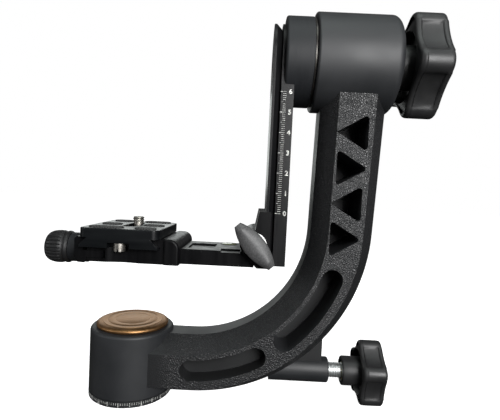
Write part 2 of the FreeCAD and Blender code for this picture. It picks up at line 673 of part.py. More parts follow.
def lobed_knob(label, start, end, radius, distance, cutter, hub_start, hub_radius, recess, bore):
    """A moulded knob with five lobes about X, a round hub on its inner side and a hollow back."""
    knob = keep(new_body(label))
    rim = new_sketch(knob, "YZ_Plane", start)
    draw_circle(rim, 0.0, 0.0, radius)
    pad(knob, rim, end - start)
    valley = new_sketch(knob, "YZ_Plane", start)
    half_turn = Dim("36", 36.0)
    draw_circle(valley, -(distance * cosine(half_turn)), distance * sine(half_turn), cutter)
    ring_pattern(knob, pocket(knob, valley, end - start, backwards=True), "X_Axis", 5)

    def outline_edge(edge):
        box = edge.BoundBox
        return box.XLength < 0.01 and min(abs(box.XMin - start.value), abs(box.XMin - end.value)) < 0.01
    round_edges(knob, radius.value * 0.065, outline_edge)

    hollow = new_sketch(knob, "YZ_Plane", start)
    draw_circle(hollow, 0.0, 0.0, radius * 0.67)
    draw_circle(hollow, 0.0, 0.0, hub_radius)
    pocket(knob, hollow, recess, backwards=True)
    hub = new_sketch(knob, "YZ_Plane", hub_start)
    draw_circle(hub, 0.0, 0.0, hub_radius)
    pad(knob, hub, start - hub_start + 0.5)
    round_edges(knob, 0.6, on_circle(hub_radius.value, hub_start.value, 0))
    hole = new_sketch(knob, "YZ_Plane", hub_start)
    draw_circle(hole, 0.0, 0.0, s.insert_radius)
    pocket(knob, hole, bore, backwards=True)
    return knob


def pan_lock():
    """Plug, threaded rod, knob and its metal insert that press on the pan sleeve."""
    plug = rod("pan_brake_plug", s.lock_rod_radius, s.plug_end - s.pan_sleeve_radius - s.fit_gap,
               s.pan_sleeve_radius + s.fit_gap, 0.0, s.pan_lock_z, "x")
    keep(plug)
    bar = rod("pan_lock_rod", s.lock_rod_radius, s.pan_knob_start + 3 - s.plug_end,
              s.plug_end, 0.0, s.pan_lock_z, "x")
    keep(bar)
    insert_start = s.pan_hub_start + 0.9
    insert = tube("pan_lock_insert", "x", s.lock_rod_radius, s.insert_radius,
                  insert_start, s.pan_knob_start + 3)
    place(insert, z=s.pan_lock_z)
    knob = lobed_knob("pan_lock_knob", s.pan_knob_start, s.pan_knob_end, s.pan_knob_radius,
                      s.pan_valley_distance, s.pan_valley_cutter, s.pan_hub_start, s.pan_hub_radius,
                      3.0, s.pan_knob_start + 3 - s.pan_hub_start)
    place(knob, z=s.pan_lock_z, turn=Rotation(Vector(1, 0, 0), -s.pan_knob_phase.value))


def tilt_lock():
    """End cover with its screws, and the pad, rod and knob that press on the tilt shaft."""
    cover = turned("tilt_end_cover", "x", [
        (s.cover_start, s.pad_room_radius), (s.pad_room_end, s.pad_room_radius),
        (s.pad_room_end, s.lock_rod_radius + s.thread_clearance),
        (s.cover_boss_end, s.lock_rod_radius + s.thread_clearance),
        (s.cover_boss_end, s.cover_boss_radius), (s.tilt_housing_end, s.cover_boss_radius),
        (s.tilt_housing_end, s.cover_radius), (s.cover_start, s.cover_radius)])
    place(cover, z=s.tilt_z)
    round_edges(cover, 0.8, on_circle(s.cover_boss_radius.value, s.cover_boss_end.value, 0))
    holes = new_sketch(cover, "YZ_Plane", s.tilt_housing_end)
    recesses = new_sketch(cover, "YZ_Plane", s.tilt_housing_end)
    for y, z in cover_screw_spots():
        draw_circle(holes, y, z, s.cover_screw_radius)
        draw_circle(recesses, y, z, s.cover_screw_head_radius)
    pocket(cover, holes, s.tilt_housing_end - s.cover_start)
    pocket(cover, recesses, s.cover_screw_head_depth)
    screw_start = s.tilt_housing_end - s.cover_screw_head_depth
    screws = []
    for number, (y, z) in enumerate(cover_screw_spots()):
        name = "cover_screw_%d" % number
        head = rod(name + "_head", s.cover_screw_head_radius, s.cover_screw_head_depth,
                   screw_start, y, s.tilt_z + z, "x")
        shank_length = screw_start - s.cover_start + s.cover_screw_length
        shank = rod(name + "_shank", s.cover_screw_radius, shank_length,
                    s.cover_start - s.cover_screw_length, y, s.tilt_z + z, "x")
        socket = hexagon(name + "_socket", s.cover_screw_head_radius, s.cover_screw_head_depth * 0.6,
                         s.tilt_housing_end - s.cover_screw_head_depth * 0.6, y, s.tilt_z + z, "x")
        screws.append(cut(name, fuse(name + "_blank", [head, shank]), socket))
    group("tilt_cover_screws", screws)

    pad_start = s.shaft_end + s.fit_gap
    brake = rod("tilt_brake_pad", s.pad_radius, s.pad_end - pad_start, pad_start, 0.0, s.tilt_z, "x")
    keep(brake)
    bar = rod("tilt_lock_rod", s.lock_rod_radius, s.tilt_knob_start + 8 - s.pad_end,
              s.pad_end, 0.0, s.tilt_z, "x")
    keep(bar)
    insert = tube("tilt_lock_insert", "x", s.lock_rod_radius, s.insert_radius,
                  s.tilt_hub_start + 0.5, s.tilt_knob_start + 8)
    place(insert, z=s.tilt_z)
    knob = lobed_knob("tilt_lock_knob", s.tilt_knob_start, s.tilt_knob_end, s.tilt_knob_radius,
                      s.tilt_valley_distance, s.tilt_valley_cutter, s.tilt_hub_start,
                      s.tilt_hub_radius, 6.0, s.tilt_knob_start + 8 - s.tilt_hub_start)
    place(knob, z=s.tilt_z, turn=Rotation(Vector(1, 0, 0), -s.tilt_knob_phase.value))


# ------------------------------------------------------------------------------- tilt shaft and drum

def tilt_bearings():
    for prefix, start in (("tilt_inner_", s.tilt_inner_race_x), ("tilt_outer_", s.tilt_outer_race_x)):
        bearing(prefix, ("shaft_race", "housing_race"), "x", s.tilt_z, start, s.tilt_race_width,
                s.shaft_radius, s.tilt_bore_radius, s.tilt_pitch_radius, s.tilt_ball_radius, 14)


def tilt_drum():
    """Drum that carries the rail, its shaft, the bearing stack and the friction washer."""
    head_end = s.rail_end + s.shaft_head_thickness
    drum = turned("tilt_drum", "x", [
        (s.drum_start, s.shaft_head_radius), (head_end, s.shaft_head_radius),
        (head_end, s.shaft_radius), (s.tilt_inner_race_x, s.shaft_radius),
        (s.tilt_inner_race_x, s.tilt_spacer_radius), (s.drum_end, s.tilt_spacer_radius),
        (s.drum_end, s.drum_radius), (s.drum_start, s.drum_radius)])
    place(drum, z=s.tilt_z)
    round_edges(drum, 1.2, on_circle(s.drum_radius.value, s.drum_start.value, 0))
    seat = rail_section(drum, s.drum_start, s.rail_half + s.fit_gap, -30.0)
    pocket(drum, seat, s.rail_end - s.drum_start, backwards=True)
    small = new_sketch(drum, "YZ_Plane", s.rail_end)
    for side in (-1, 1):
        draw_circle(small, s.rail_screw_offset * side, -s.rail_screw_drop, 2.0)
    pocket(drum, small, 6.4, backwards=True)
    bolts = new_sketch(drum, "YZ_Plane", head_end)
    spots = []
    for number in range(4):
        angle = Dim("(90 * %d)" % number, 90.0 * number)
        spots.append((s.flange_screw_circle * cosine(angle), s.flange_screw_circle * sine(angle)))
        draw_circle(bolts, spots[-1][0], spots[-1][1], 1.2)
    pocket(drum, bolts, 3.9, backwards=True)

    shaft = turned("tilt_shaft", "x", [
        (s.rail_end, 3.0), (100.0, 3.0), (100.0, 0.0), (s.shaft_end, 0.0),
        (s.shaft_end, s.shaft_thread_radius), (s.tilt_outer_race_x + s.tilt_race_width, s.shaft_thread_radius),
        (s.tilt_outer_race_x + s.tilt_race_width, s.shaft_radius), (head_end, s.shaft_radius),
        (head_end, s.shaft_head_radius), (s.rail_end, s.shaft_head_radius)])
    place(shaft, z=s.tilt_z)
    holes = new_sketch(shaft, "YZ_Plane", s.rail_end)
    recesses = new_sketch(shaft, "YZ_Plane", s.rail_end)
    for y, z in spots:
        draw_circle(holes, y, z, 1.2)
        draw_circle(recesses, y, z, 2.0)
    pocket(shaft, holes, s.shaft_head_thickness, backwards=True)
    pocket(shaft, recesses, 2.2, backwards=True)
    screws = [cap_screw("flange_screw_%d" % number, 1.2, 5.4, 2.0, 1.7, s.rail_end + 0.5, y,
                        s.tilt_z + z, "x") for number, (y, z) in enumerate(spots)]
    group("flange_screws", screws)

    spacer = tube("tilt_spacer", "x", s.shaft_radius, s.tilt_spacer_radius,
                  s.tilt_inner_race_x + s.tilt_race_width, s.tilt_outer_race_x)
    place(spacer, z=s.tilt_z)
    washer_start = s.tilt_outer_race_x + s.tilt_race_width
    washer = tube("tilt_shaft_washer", "x", s.shaft_thread_radius, s.tilt_spacer_radius,
                  washer_start, washer_start + 1.2)
    place(washer, z=s.tilt_z)
    blank = hexagon("tilt_nut_blank", s.tilt_nut_flats, 5.0, washer_start + 1.2, 0.0, s.tilt_z, "x")
    hole = rod("tilt_nut_hole", s.shaft_thread_radius, 5.0, washer_start + 1.2, 0.0, s.tilt_z, "x")
    keep(cut("tilt_shaft_nut", blank, hole))

    friction = turned("tilt_friction_washer", "x", [
        (s.drum_end, s.tilt_spacer_radius), (s.drum_end, 14.0), (s.drum_end + 0.3, 14.3),
        (s.drum_end + 0.3, s.friction_radius), (s.drum_end + 1.1, s.friction_radius),
        (s.drum_end + 1.1, 14.3), (s.drum_end + 1.2, 14.0), (s.drum_end + 1.2, s.tilt_spacer_radius)])
    place(friction, z=s.tilt_z)


# ------------------------------------------------------------------------------------------- rail

def rail_section(body, x, half, bottom):
    """The rail's outline across X: straight sides, a flat foot and a round top just above the tilt axis."""
    sketch = new_sketch(body, "YZ_Plane", x)
    half = dim(half)
    bottom = dim(bottom)
    sketch.addGeometry([
        arc(0.0, s.rail_crown, half, 0, 180),
        Part.LineSegment(flat(-half, s.rail_crown), flat(-half, bottom)),
        Part.LineSegment(flat(-half, bottom), flat(half, bottom)),
        Part.LineSegment(flat(half, bottom), flat(half, s.rail_crown)),
    ], False)
    for one, point, other, meet in ((1, 2, 2, 1), (2, 2, 3, 1)):
        sketch.addConstraint(Sketcher.Constraint("Coincident", one, point, other, meet))
    sketch.addConstraint(Sketcher.Constraint("Tangent", 0, 2, 1, 1))
    sketch.addConstraint(Sketcher.Constraint("Tangent", 3, 2, 0, 1))
    fix_point(sketch, 0, 3, 0.0, s.rail_crown)
    fix_radius(sketch, 0, half)
    sketch.addConstraint(Sketcher.Constraint("Horizontal", 2))
    sketch.addConstraint(Sketcher.Constraint("Vertical", 1))
    sketch.addConstraint(Sketcher.Constraint("Vertical", 3))
    foot = sketch.addConstraint(Sketcher.Constraint("DistanceY", -1, 1, 2, 1, bottom.value))
    sketch.setExpression("Constraints[%d]" % foot, bottom.text)
    return sketch


def rail():
    """Dovetail rail: a thin head and a V groove that the platform grips, and the scale bar."""
    foot = s.rail_bottom - s.tilt_z
    bar = keep(new_body("rail"))
    place(bar, z=s.tilt_z)
    groove_start = s.rail_start + s.rail_lip
    groove_end = groove_start + s.rail_groove
    pad(bar, rail_section(bar, s.rail_start, s.rail_half, foot), s.rail_lip)
    slope = feature(bar, "AdditiveLoft", rail_section(bar, groove_start, s.rail_half, foot))
    slope.Sections = [(rail_section(bar, groove_end, s.rail_half - s.rail_groove, foot), [""])]
    slope.Ruled = True
    pad(bar, rail_section(bar, groove_end, s.rail_half, foot), s.rail_end - groove_end)

    centre = new_sketch(bar, "YZ_Plane", s.rail_start)
    draw_circle(centre, 0.0, 0.0, 3.0)
    pocket(bar, centre, s.rail_end - s.rail_start, backwards=True)
    centre_seat = new_sketch(bar, "YZ_Plane", s.rail_start)
    draw_circle(centre_seat, 0.0, 0.0, 5.2)
    pocket(bar, centre_seat, 3.4, backwards=True)
    small = new_sketch(bar, "YZ_Plane", s.rail_start)
    small_seat = new_sketch(bar, "YZ_Plane", s.rail_start)
    for side in (-1, 1):
        draw_circle(small, s.rail_screw_offset * side, -s.rail_screw_drop, 2.0)
        draw_circle(small_seat, s.rail_screw_offset * side, -s.rail_screw_drop, 3.6)
    pocket(bar, small, s.rail_end - s.rail_start, backwards=True)
    pocket(bar, small_seat, 2.4, backwards=True)

    screws = [cap_screw("rail_screw_0", 3.0, 26.0, 5.2, 3.2, s.rail_start + 0.2, 0.0, s.tilt_z, "x")]
    for number, side in ((1, -1), (2, 1)):
        screws.append(cap_screw("rail_screw_%d" % number, 2.0, 14.0, 3.6, 2.2, s.rail_start + 0.2,
                                s.rail_screw_offset * side, s.tilt_z - s.rail_screw_drop, "x"))
    group("rail_screws", screws)


# --------------------------------------------------------------------------------------- platform

def draw_leg(sketch, left_foot, right):
    """The upright of the platform, tapering to the index edge at its top."""
    draw_polygon(sketch, [
        (left_foot, s.platform_bottom), (right, s.platform_bottom), (right, s.leg_top),
        (s.paddle_x + 1.6, s.leg_top), (s.paddle_x, s.leg_top - 9.0), (left_foot, s.paddle_z)])


def platform():
    """L-shaped platform: plate clamp bed with the fixed jaw, a bar, and the upright on the rail."""
    body = keep(new_body("platform"))
    bed = new_sketch(body, "XZ_Plane")
    draw_box(bed, s.clamp_start, s.platform_bottom, s.fixed_jaw_start + 1, s.clamp_floor)
    pad(body, bed, s.clamp_half * 2, both_ways=True)

    jaw = new_sketch(body, "XZ_Plane")
    tip_x = s.plate_x + s.plate_tip + s.fit_gap * 2
    neck_x = s.plate_x + s.plate_neck + 0.6
    draw_polygon(jaw, [
        (tip_x + 0.3, s.clamp_floor), (tip_x + 0.3, s.plate_tip_top - 0.2), (tip_x, s.plate_tip_top - 0.04),
        (neck_x, s.plate_neck_z - 0.56), (neck_x, s.plate_neck_z - 0.3),
        (s.fixed_jaw_start - 1.4, s.plate_neck_z - 0.3), (s.fixed_jaw_start - 0.6, s.fixed_jaw_top),
        (s.fixed_jaw_end, s.fixed_jaw_top), (s.fixed_jaw_end, s.platform_bottom),
        (tip_x + 0.3, s.platform_bottom)])
    pad(body, jaw, s.clamp_half * 2, both_ways=True)
    cheek = new_sketch(body, "XZ_Plane")
    draw_box(cheek, s.fixed_jaw_start, s.platform_bottom, s.fixed_jaw_end + 0.6, s.fixed_jaw_top)
    pad(body, cheek, s.fixed_jaw_half * 2, both_ways=True)
    right_face = s.fixed_jaw_end.value + 0.6

    def jaw_shoulder(edge):
        box = edge.BoundBox
        level = box.ZLength < 0.01 and abs(box.ZMin - s.fixed_jaw_top.value) < 0.01
        return level and box.YLength > 20 and abs(box.XMin - right_face) < 0.01
    round_edges(body, 4.9, jaw_shoulder)

    bar = new_sketch(body, "XZ_Plane")
    draw_box(bar, s.fixed_jaw_end - 1, s.platform_bottom, s.paddle_x, s.platform_top)
    pad(body, bar, s.platform_half * 2, both_ways=True)

    upright = new_sketch(body, "XZ_Plane", s.jaw_split)
    draw_leg(upright, s.paddle_x - 6.4, s.leg_back)
    pad(body, upright, s.jaw_split + s.jaw_front, backwards=True)
    swell = new_sketch(body, "XZ_Plane", s.jaw_split)
    draw_circle(swell, s.paddle_x, s.paddle_z, s.boss_round)
    pad(body, swell, s.jaw_split + s.jaw_front, backwards=True)
    # the round boss swells past the face that meets the rail, so the rail's path is cut clear
    rail_room = new_sketch(body, "XY_Plane", s.platform_bottom)
    draw_box(rail_room, s.leg_back, -s.jaw_front, s.rail_end, s.jaw_front + 1)
    pocket(body, rail_room, s.leg_top - s.platform_bottom, backwards=True)
    rear_hook = new_sketch(body, "XY_Plane", s.platform_bottom)
    draw_hook(rear_hook, 1)
    pad(body, rear_hook, s.leg_top - s.platform_bottom)

    front_room = new_sketch(body, "XZ_Plane", s.jaw_split)
    corner = s.boss_round + 0.3
    slant = corner * math.sqrt(0.5)
    draw_polygon(front_room, [
        (s.paddle_x - slant, s.paddle_z - slant), (s.paddle_x - slant + 9, s.paddle_z - slant - 9),
        (76.0, s.paddle_z - slant - 9), (76.0, 104.0), (s.paddle_x - slant, 104.0)])
    pocket(body, front_room, 14.0, backwards=True)
    front_swell = new_sketch(body, "XZ_Plane", s.jaw_split)
    draw_circle(front_swell, s.paddle_x, s.paddle_z, corner)
    pocket(body, front_swell, 14.0, backwards=True)

    platform_cuts(body)
    return body


def draw_hook(sketch, side):
    """Section of a dovetail hook behind the rail's head, on the rear (1) or front (-1)."""
    rail_face = s.rail_half + s.fit_gap
    lip = s.rail_start + s.rail_lip
    slope = s.hook_end - lip - s.fit_gap
    draw_polygon(sketch, [
        (s.leg_back - 1, rail_face * side), (lip + s.fit_gap, rail_face * side),
        (s.hook_end, (rail_face - slope) * side), (s.hook_end, s.jaw_front * side),
        (s.leg_back - 1, s.jaw_front * side)])


def platform_cuts(body):
    """Recesses, slots and holes in the platform."""
    recess = new_sketch(body, "XY_Plane", s.platform_top)
    draw_box(recess, 29.8, -11.0, 43.4, 7.3)
    pocket(body, recess, 0.9)
    notch = new_sketch(body, "XY_Plane", s.platform_top)
    draw_box(notch, 47.0, -18.0, 57.0, -9.0)
    pocket(body, notch, 0.8)
    level = new_sketch(body, "XY_Plane", s.platform_top)
    draw_circle(level, s.level_x, s.level_y, s.level_radius)
    pocket(body, level, 2.6)
    mark = new_sketch(body, "XZ_Plane", s.platform_half)
    draw_box(mark, 37.4, 79.4, 37.9, s.platform_top)
    pocket(body, mark, 0.3)

    groove = new_sketch(body, "XY_Plane", s.clamp_floor)
    for side in (-1, 1):
        draw_box(groove, s.plate_x - 3.3, 4.5 * side, s.plate_x + 3.3, 22.0 * side)
    pocket(body, groove, 2.1)
    tongue_slot = new_sketch(body, "YZ_Plane", s.clamp_start)
    for side in (-1, 1):
        draw_box(tongue_slot, 5.0 * side, 74.7, 22.0 * side, 78.5)
    pocket(body, tongue_slot, 8.9, backwards=True)
    thread = new_sketch(body, "YZ_Plane", s.clamp_start)
    draw_circle(thread, 0.0, s.clamp_screw_z, s.clamp_screw_radius + s.thread_clearance)
    pocket(body, thread, 12.0, backwards=True)
    scoop = new_sketch(body, "XY_Plane", s.platform_bottom)
    draw_circle(scoop, -0.65, -s.clamp_half - 26.1, 27.3)
    pocket(body, scoop, s.clamp_floor - s.platform_bottom, backwards=True)

    screw_thread = new_sketch(body, "XZ_Plane", s.jaw_split)
    draw_circle(screw_thread, s.paddle_x, s.paddle_z, s.paddle_screw_radius + s.thread_clearance)
    pocket(body, screw_thread, 24.0)
    spring_seat = new_sketch(body, "XZ_Plane", s.jaw_split)
    draw_circle(spring_seat, s.paddle_x, s.paddle_z, 5.3)
    pocket(body, spring_seat, 6.0)
    pins = new_sketch(body, "XZ_Plane", s.jaw_split)
    for height in (77.0, 97.0):
        draw_circle(pins, s.paddle_x + 2.9, height, 1.1)
    pocket(body, pins, 4.0)

    def front_corner(edge):
        box = edge.BoundBox
        upright = box.XLength < 0.01 and box.YLength < 0.01 and box.ZLength > 5
        on_cheek = abs(abs(box.YMin) - s.fixed_jaw_half.value) < 0.01
        return upright and on_cheek
    round_edges(body, 1.2, front_corner)


def rail_jaw():
    """Front jaw that the paddle pulls onto the rail, with its guide pins and opening spring."""
    jaw = keep(new_body("rail_jaw"))
    back = s.jaw_split + 0.3
    depth = s.jaw_front - back
    upright = new_sketch(jaw, "XZ_Plane", back)
    slant = s.boss_round * math.sqrt(0.5)
    foot = s.platform_bottom + 0.4
    draw_polygon(upright, [
        (s.paddle_x - slant, s.paddle_z - slant),
        (s.paddle_x - slant + (s.paddle_z - slant - foot), foot), (s.leg_back, foot),
        (s.leg_back, s.leg_top), (s.paddle_x + 1.6, s.leg_top), (s.paddle_x, s.leg_top - 9.0),
        (s.paddle_x - 0.5, s.paddle_z)])
    pad(jaw, upright, depth)
    swell = new_sketch(jaw, "XZ_Plane", back)
    draw_circle(swell, s.paddle_x, s.paddle_z, s.boss_round)
    pad(jaw, swell, depth)
    clear = new_sketch(jaw, "XY_Plane", 70.0)
    draw_box(clear, s.leg_back, -(s.rail_half + s.fit_gap), 76.0, 0.0)
    pocket(jaw, clear, 40.0, backwards=True)
    hook = new_sketch(jaw, "XY_Plane", foot)
    draw_hook(hook, -1)
    pad(jaw, hook, s.leg_top - foot)
    hole = new_sketch(jaw, "XZ_Plane", back)
    draw_circle(hole, s.paddle_x, s.paddle_z, s.paddle_screw_radius + 0.15)
    pocket(jaw, hole, depth, backwards=True)
    pins = new_sketch(jaw, "XZ_Plane", back)
    for height in (77.0, 97.0):
        draw_circle(pins, s.paddle_x + 2.9, height, 1.16)
    pocket(jaw, pins, 5.0, backwards=True)

    pin_length = 8.0
    pins = [rod("rail_jaw_pin_%d" % number, 1.1, pin_length, s.paddle_x + 2.9, 4.0 - s.jaw_split, height, "-y")
            for number, height in enumerate((77.0, 97.0))]
    group("rail_jaw_pins", pins)

    pitch = s.spring_wire.value * 8 / 3
    helix = Part.makeHelix(pitch, s.spring_length.value, s.spring_radius.value)
    first = helix.Edges[0]
    wire_end = Part.makeCircle(s.spring_wire.value, first.valueAt(first.FirstParameter),
                               first.tangentAt(first.FirstParameter))
    coil = doc.addObject("Part::Feature", "rail_jaw_spring")
    coil.Shape = Part.Wire(helix.Edges).makePipeShell([Part.Wire(wire_end)], True, True)
    keep(place(coil, s.paddle_x, s.spring_wire - s.jaw_split + 5.1, s.paddle_z, ALONG["-y"]))


def paddle():
    """Oval wing knob, its screw and the white washer under it."""
    keep(rod("paddle_screw", s.paddle_screw_radius, s.paddle_back + 2 + 12, s.paddle_x, 12.0,
             s.paddle_z, "-y"))
    washer = tube("paddle_washer", "y", s.paddle_screw_radius, s.paddle_washer_radius,
                  -(s.jaw_front + 1.3), -(s.jaw_front + s.fit_gap))
    place(washer, s.paddle_x, 0.0, s.paddle_z)

    wing = keep(new_body("paddle_knob"))
    blade = new_sketch(wing, "XZ_Plane", s.paddle_back)
    length = s.paddle_half_length
    tip = s.paddle_tip_half
    rise = s.paddle_half_width - tip
    radius = (length.value ** 2 + rise.value ** 2) / (2 * rise.value)
    sweep = math.degrees(math.asin(length.value / radius))
    drop = s.paddle_half_width.value - radius
    blade.addGeometry([
        arc(0.0, drop, radius, 90 - sweep, 90 + sweep),
        Part.LineSegment(flat(-length, tip), flat(-length, -tip)),
        arc(0.0, -drop, radius, 270 - sweep, 270 + sweep),
        Part.LineSegment(flat(length, -tip), flat(length, tip)),
    ], False)
    for one, other in ((0, 1), (1, 2), (2, 3), (3, 0)):
        blade.addConstraint(Sketcher.Constraint("Coincident", one, 2, other, 1))
    fix_point(blade, 1, 1, -length, tip)
    fix_point(blade, 1, 2, -length, -tip)
    fix_point(blade, 3, 1, length, -tip)
    fix_point(blade, 3, 2, length, tip)
    fix_radius(blade, 0, radius)
    fix_radius(blade, 2, radius)
    pad(wing, blade, s.paddle_face - s.paddle_back)
    face = -s.paddle_face.value

    def long_front_edge(edge):
        box = edge.BoundBox
        return box.YLength < 0.01 and abs(box.YMin - face) < 0.01 and edge.Length > 10
    round_edges(wing, 1.5, long_front_edge)
    facets = new_sketch(wing, "XY_Plane")
    for side in (-1, 1):
        draw_polygon(facets, [
            ((length + 1) * side, -(s.paddle_face + 1)), ((length - 5) * side, -(s.paddle_face + 1)),
            ((length - 5) * side, -s.paddle_face), ((length + 1) * side, -(s.paddle_face - 2))])
    pocket(wing, facets, s.paddle_half_width * 2, both_ways=True)
    hub = new_sketch(wing, "XZ_Plane", s.jaw_front + 1.3)
    draw_circle(hub, 0.0, 0.0, 4.6)
    pad(wing, hub, s.paddle_back - s.jaw_front - 1.2)
    hole = new_sketch(wing, "XZ_Plane", s.jaw_front + 1.3)
    draw_circle(hole, 0.0, 0.0, s.paddle_screw_radius)
    pocket(wing, hole, s.paddle_back + 2 - s.jaw_front - 1.3, backwards=True)
    place(wing, s.paddle_x, 0.0, s.paddle_z, Rotation(Vector(0, 1, 0), s.paddle_turn.value))


def level():
    """Round bubble level let into the platform."""
    case = turned("level_case", "z", [
        (0.0, 78.1), (s.level_radius, 78.1), (s.level_radius, s.platform_top + 0.2),
        (s.vial_radius, s.platform_top + 0.2), (s.vial_radius, 79.0), (0.0, 79.0)])
    place(case, s.level_x, s.level_y)
    vial = turned("level_vial", "z", [
        (0.0, 79.0), (s.vial_radius, 79.0), (s.vial_radius, s.platform_top + 0.1),
        (s.vial_radius * 0.6, s.platform_top + 0.4), (0.0, s.platform_top + 0.5)])
    place(vial, s.level_x, s.level_y)


# ------------------------------------------------------------------------------------ plate clamp

def clamp():
    """Sliding jaw with its tongues, the screw that draws it in, and the ribbed knob with its collar."""
    jaw = keep(new_body("clamp_jaw"))
    profile = new_sketch(jaw, "XZ_Plane")
    left = s.clamp_jaw_left
    tip_x = s.plate_x - s.plate_tip - s.fit_gap * 2
    neck_x = s.plate_x - s.plate_neck - 0.6
    draw_polygon(profile, [
        (left, 74.8), (left + 1.8, 72.4), (left + 4.8, 72.2), (s.clamp_start - 0.3, 73.3),
        (s.clamp_start - 0.3, 74.9), (s.clamp_start - 2, 74.9), (s.clamp_start - 2, s.clamp_floor - 0.1),
        (tip_x, s.clamp_floor - 0.1), (tip_x, s.plate_tip_top - 0.04),
        (neck_x, s.plate_neck_z - 0.56), (neck_x, s.plate_neck_z - 0.2),
        (left + 1.2, s.plate_neck_z - 0.2), (left, s.plate_neck_z - 1.2)])
    pad(jaw, profile, s.clamp_half * 2, both_ways=True)
    tongue = new_sketch(jaw, "YZ_Plane", s.clamp_start - 2.5)
    for side in (-1, 1):
        draw_box(tongue, 5.2 * side, 74.85, s.clamp_half * side, 78.4)
    pad(jaw, tongue, 10.3)
    hole = new_sketch(jaw, "YZ_Plane", left)
    draw_circle(hole, 0.0, s.clamp_screw_z, s.clamp_screw_radius + 0.15)
    pocket(jaw, hole, 8.0, backwards=True)

    knob_right = s.clamp_knob_left + 15.0
    screw_start = s.clamp_knob_left + 4
    keep(rod("clamp_screw", s.clamp_screw_radius, -6.5 - screw_start, screw_start, 0.0,
             s.clamp_screw_z, "x"))
    knob = turned("clamp_knob", "x", [
        (s.clamp_knob_left, 0.0), (screw_start, 0.0), (screw_start, s.clamp_screw_radius),
        (knob_right, s.clamp_screw_radius), (knob_right, s.clamp_knob_radius - 0.5),
        (knob_right - 0.5, s.clamp_knob_radius - 0.1), (knob_right - 1.2, s.clamp_knob_radius - 0.1),
        (knob_right - 1.5, s.clamp_knob_radius - 0.7), (knob_right - 2.0, s.clamp_knob_radius - 0.7),
        (knob_right - 2.3, s.clamp_knob_radius - 0.1), (knob_right - 4, s.clamp_knob_radius),
        (s.clamp_knob_left + 8.5, s.clamp_knob_radius), (s.clamp_knob_left + 6.1, s.clamp_knob_radius - 0.25),
        (s.clamp_knob_left + 4.3, s.clamp_knob_radius - 0.85), (s.clamp_knob_left + 2.7, s.clamp_knob_radius - 1.85),
        (s.clamp_knob_left + 1.4, s.clamp_knob_radius - 3.5), (s.clamp_knob_left + 0.4, s.clamp_knob_radius - 6.2)])
    place(knob, z=s.clamp_screw_z)
    flute = new_sketch(knob, "YZ_Plane", s.clamp_knob_left + 1)
    draw_circle(flute, s.clamp_knob_radius + 0.3, 0.0, 0.62)
    ring_pattern(knob, pocket(knob, flute, 11.0, backwards=True), "X_Axis", 28)
    collar = tube("clamp_collar", "x", s.clamp_screw_radius, s.clamp_collar_radius,
                  knob_right + 0.2, left - 0.1)
    place(collar, z=s.clamp_screw_z)
    round_edges(collar, 1.0, on_circle(s.clamp_collar_radius.value, left.value - 0.1, 0))


# ------------------------------------------------------------------------------------ camera plate

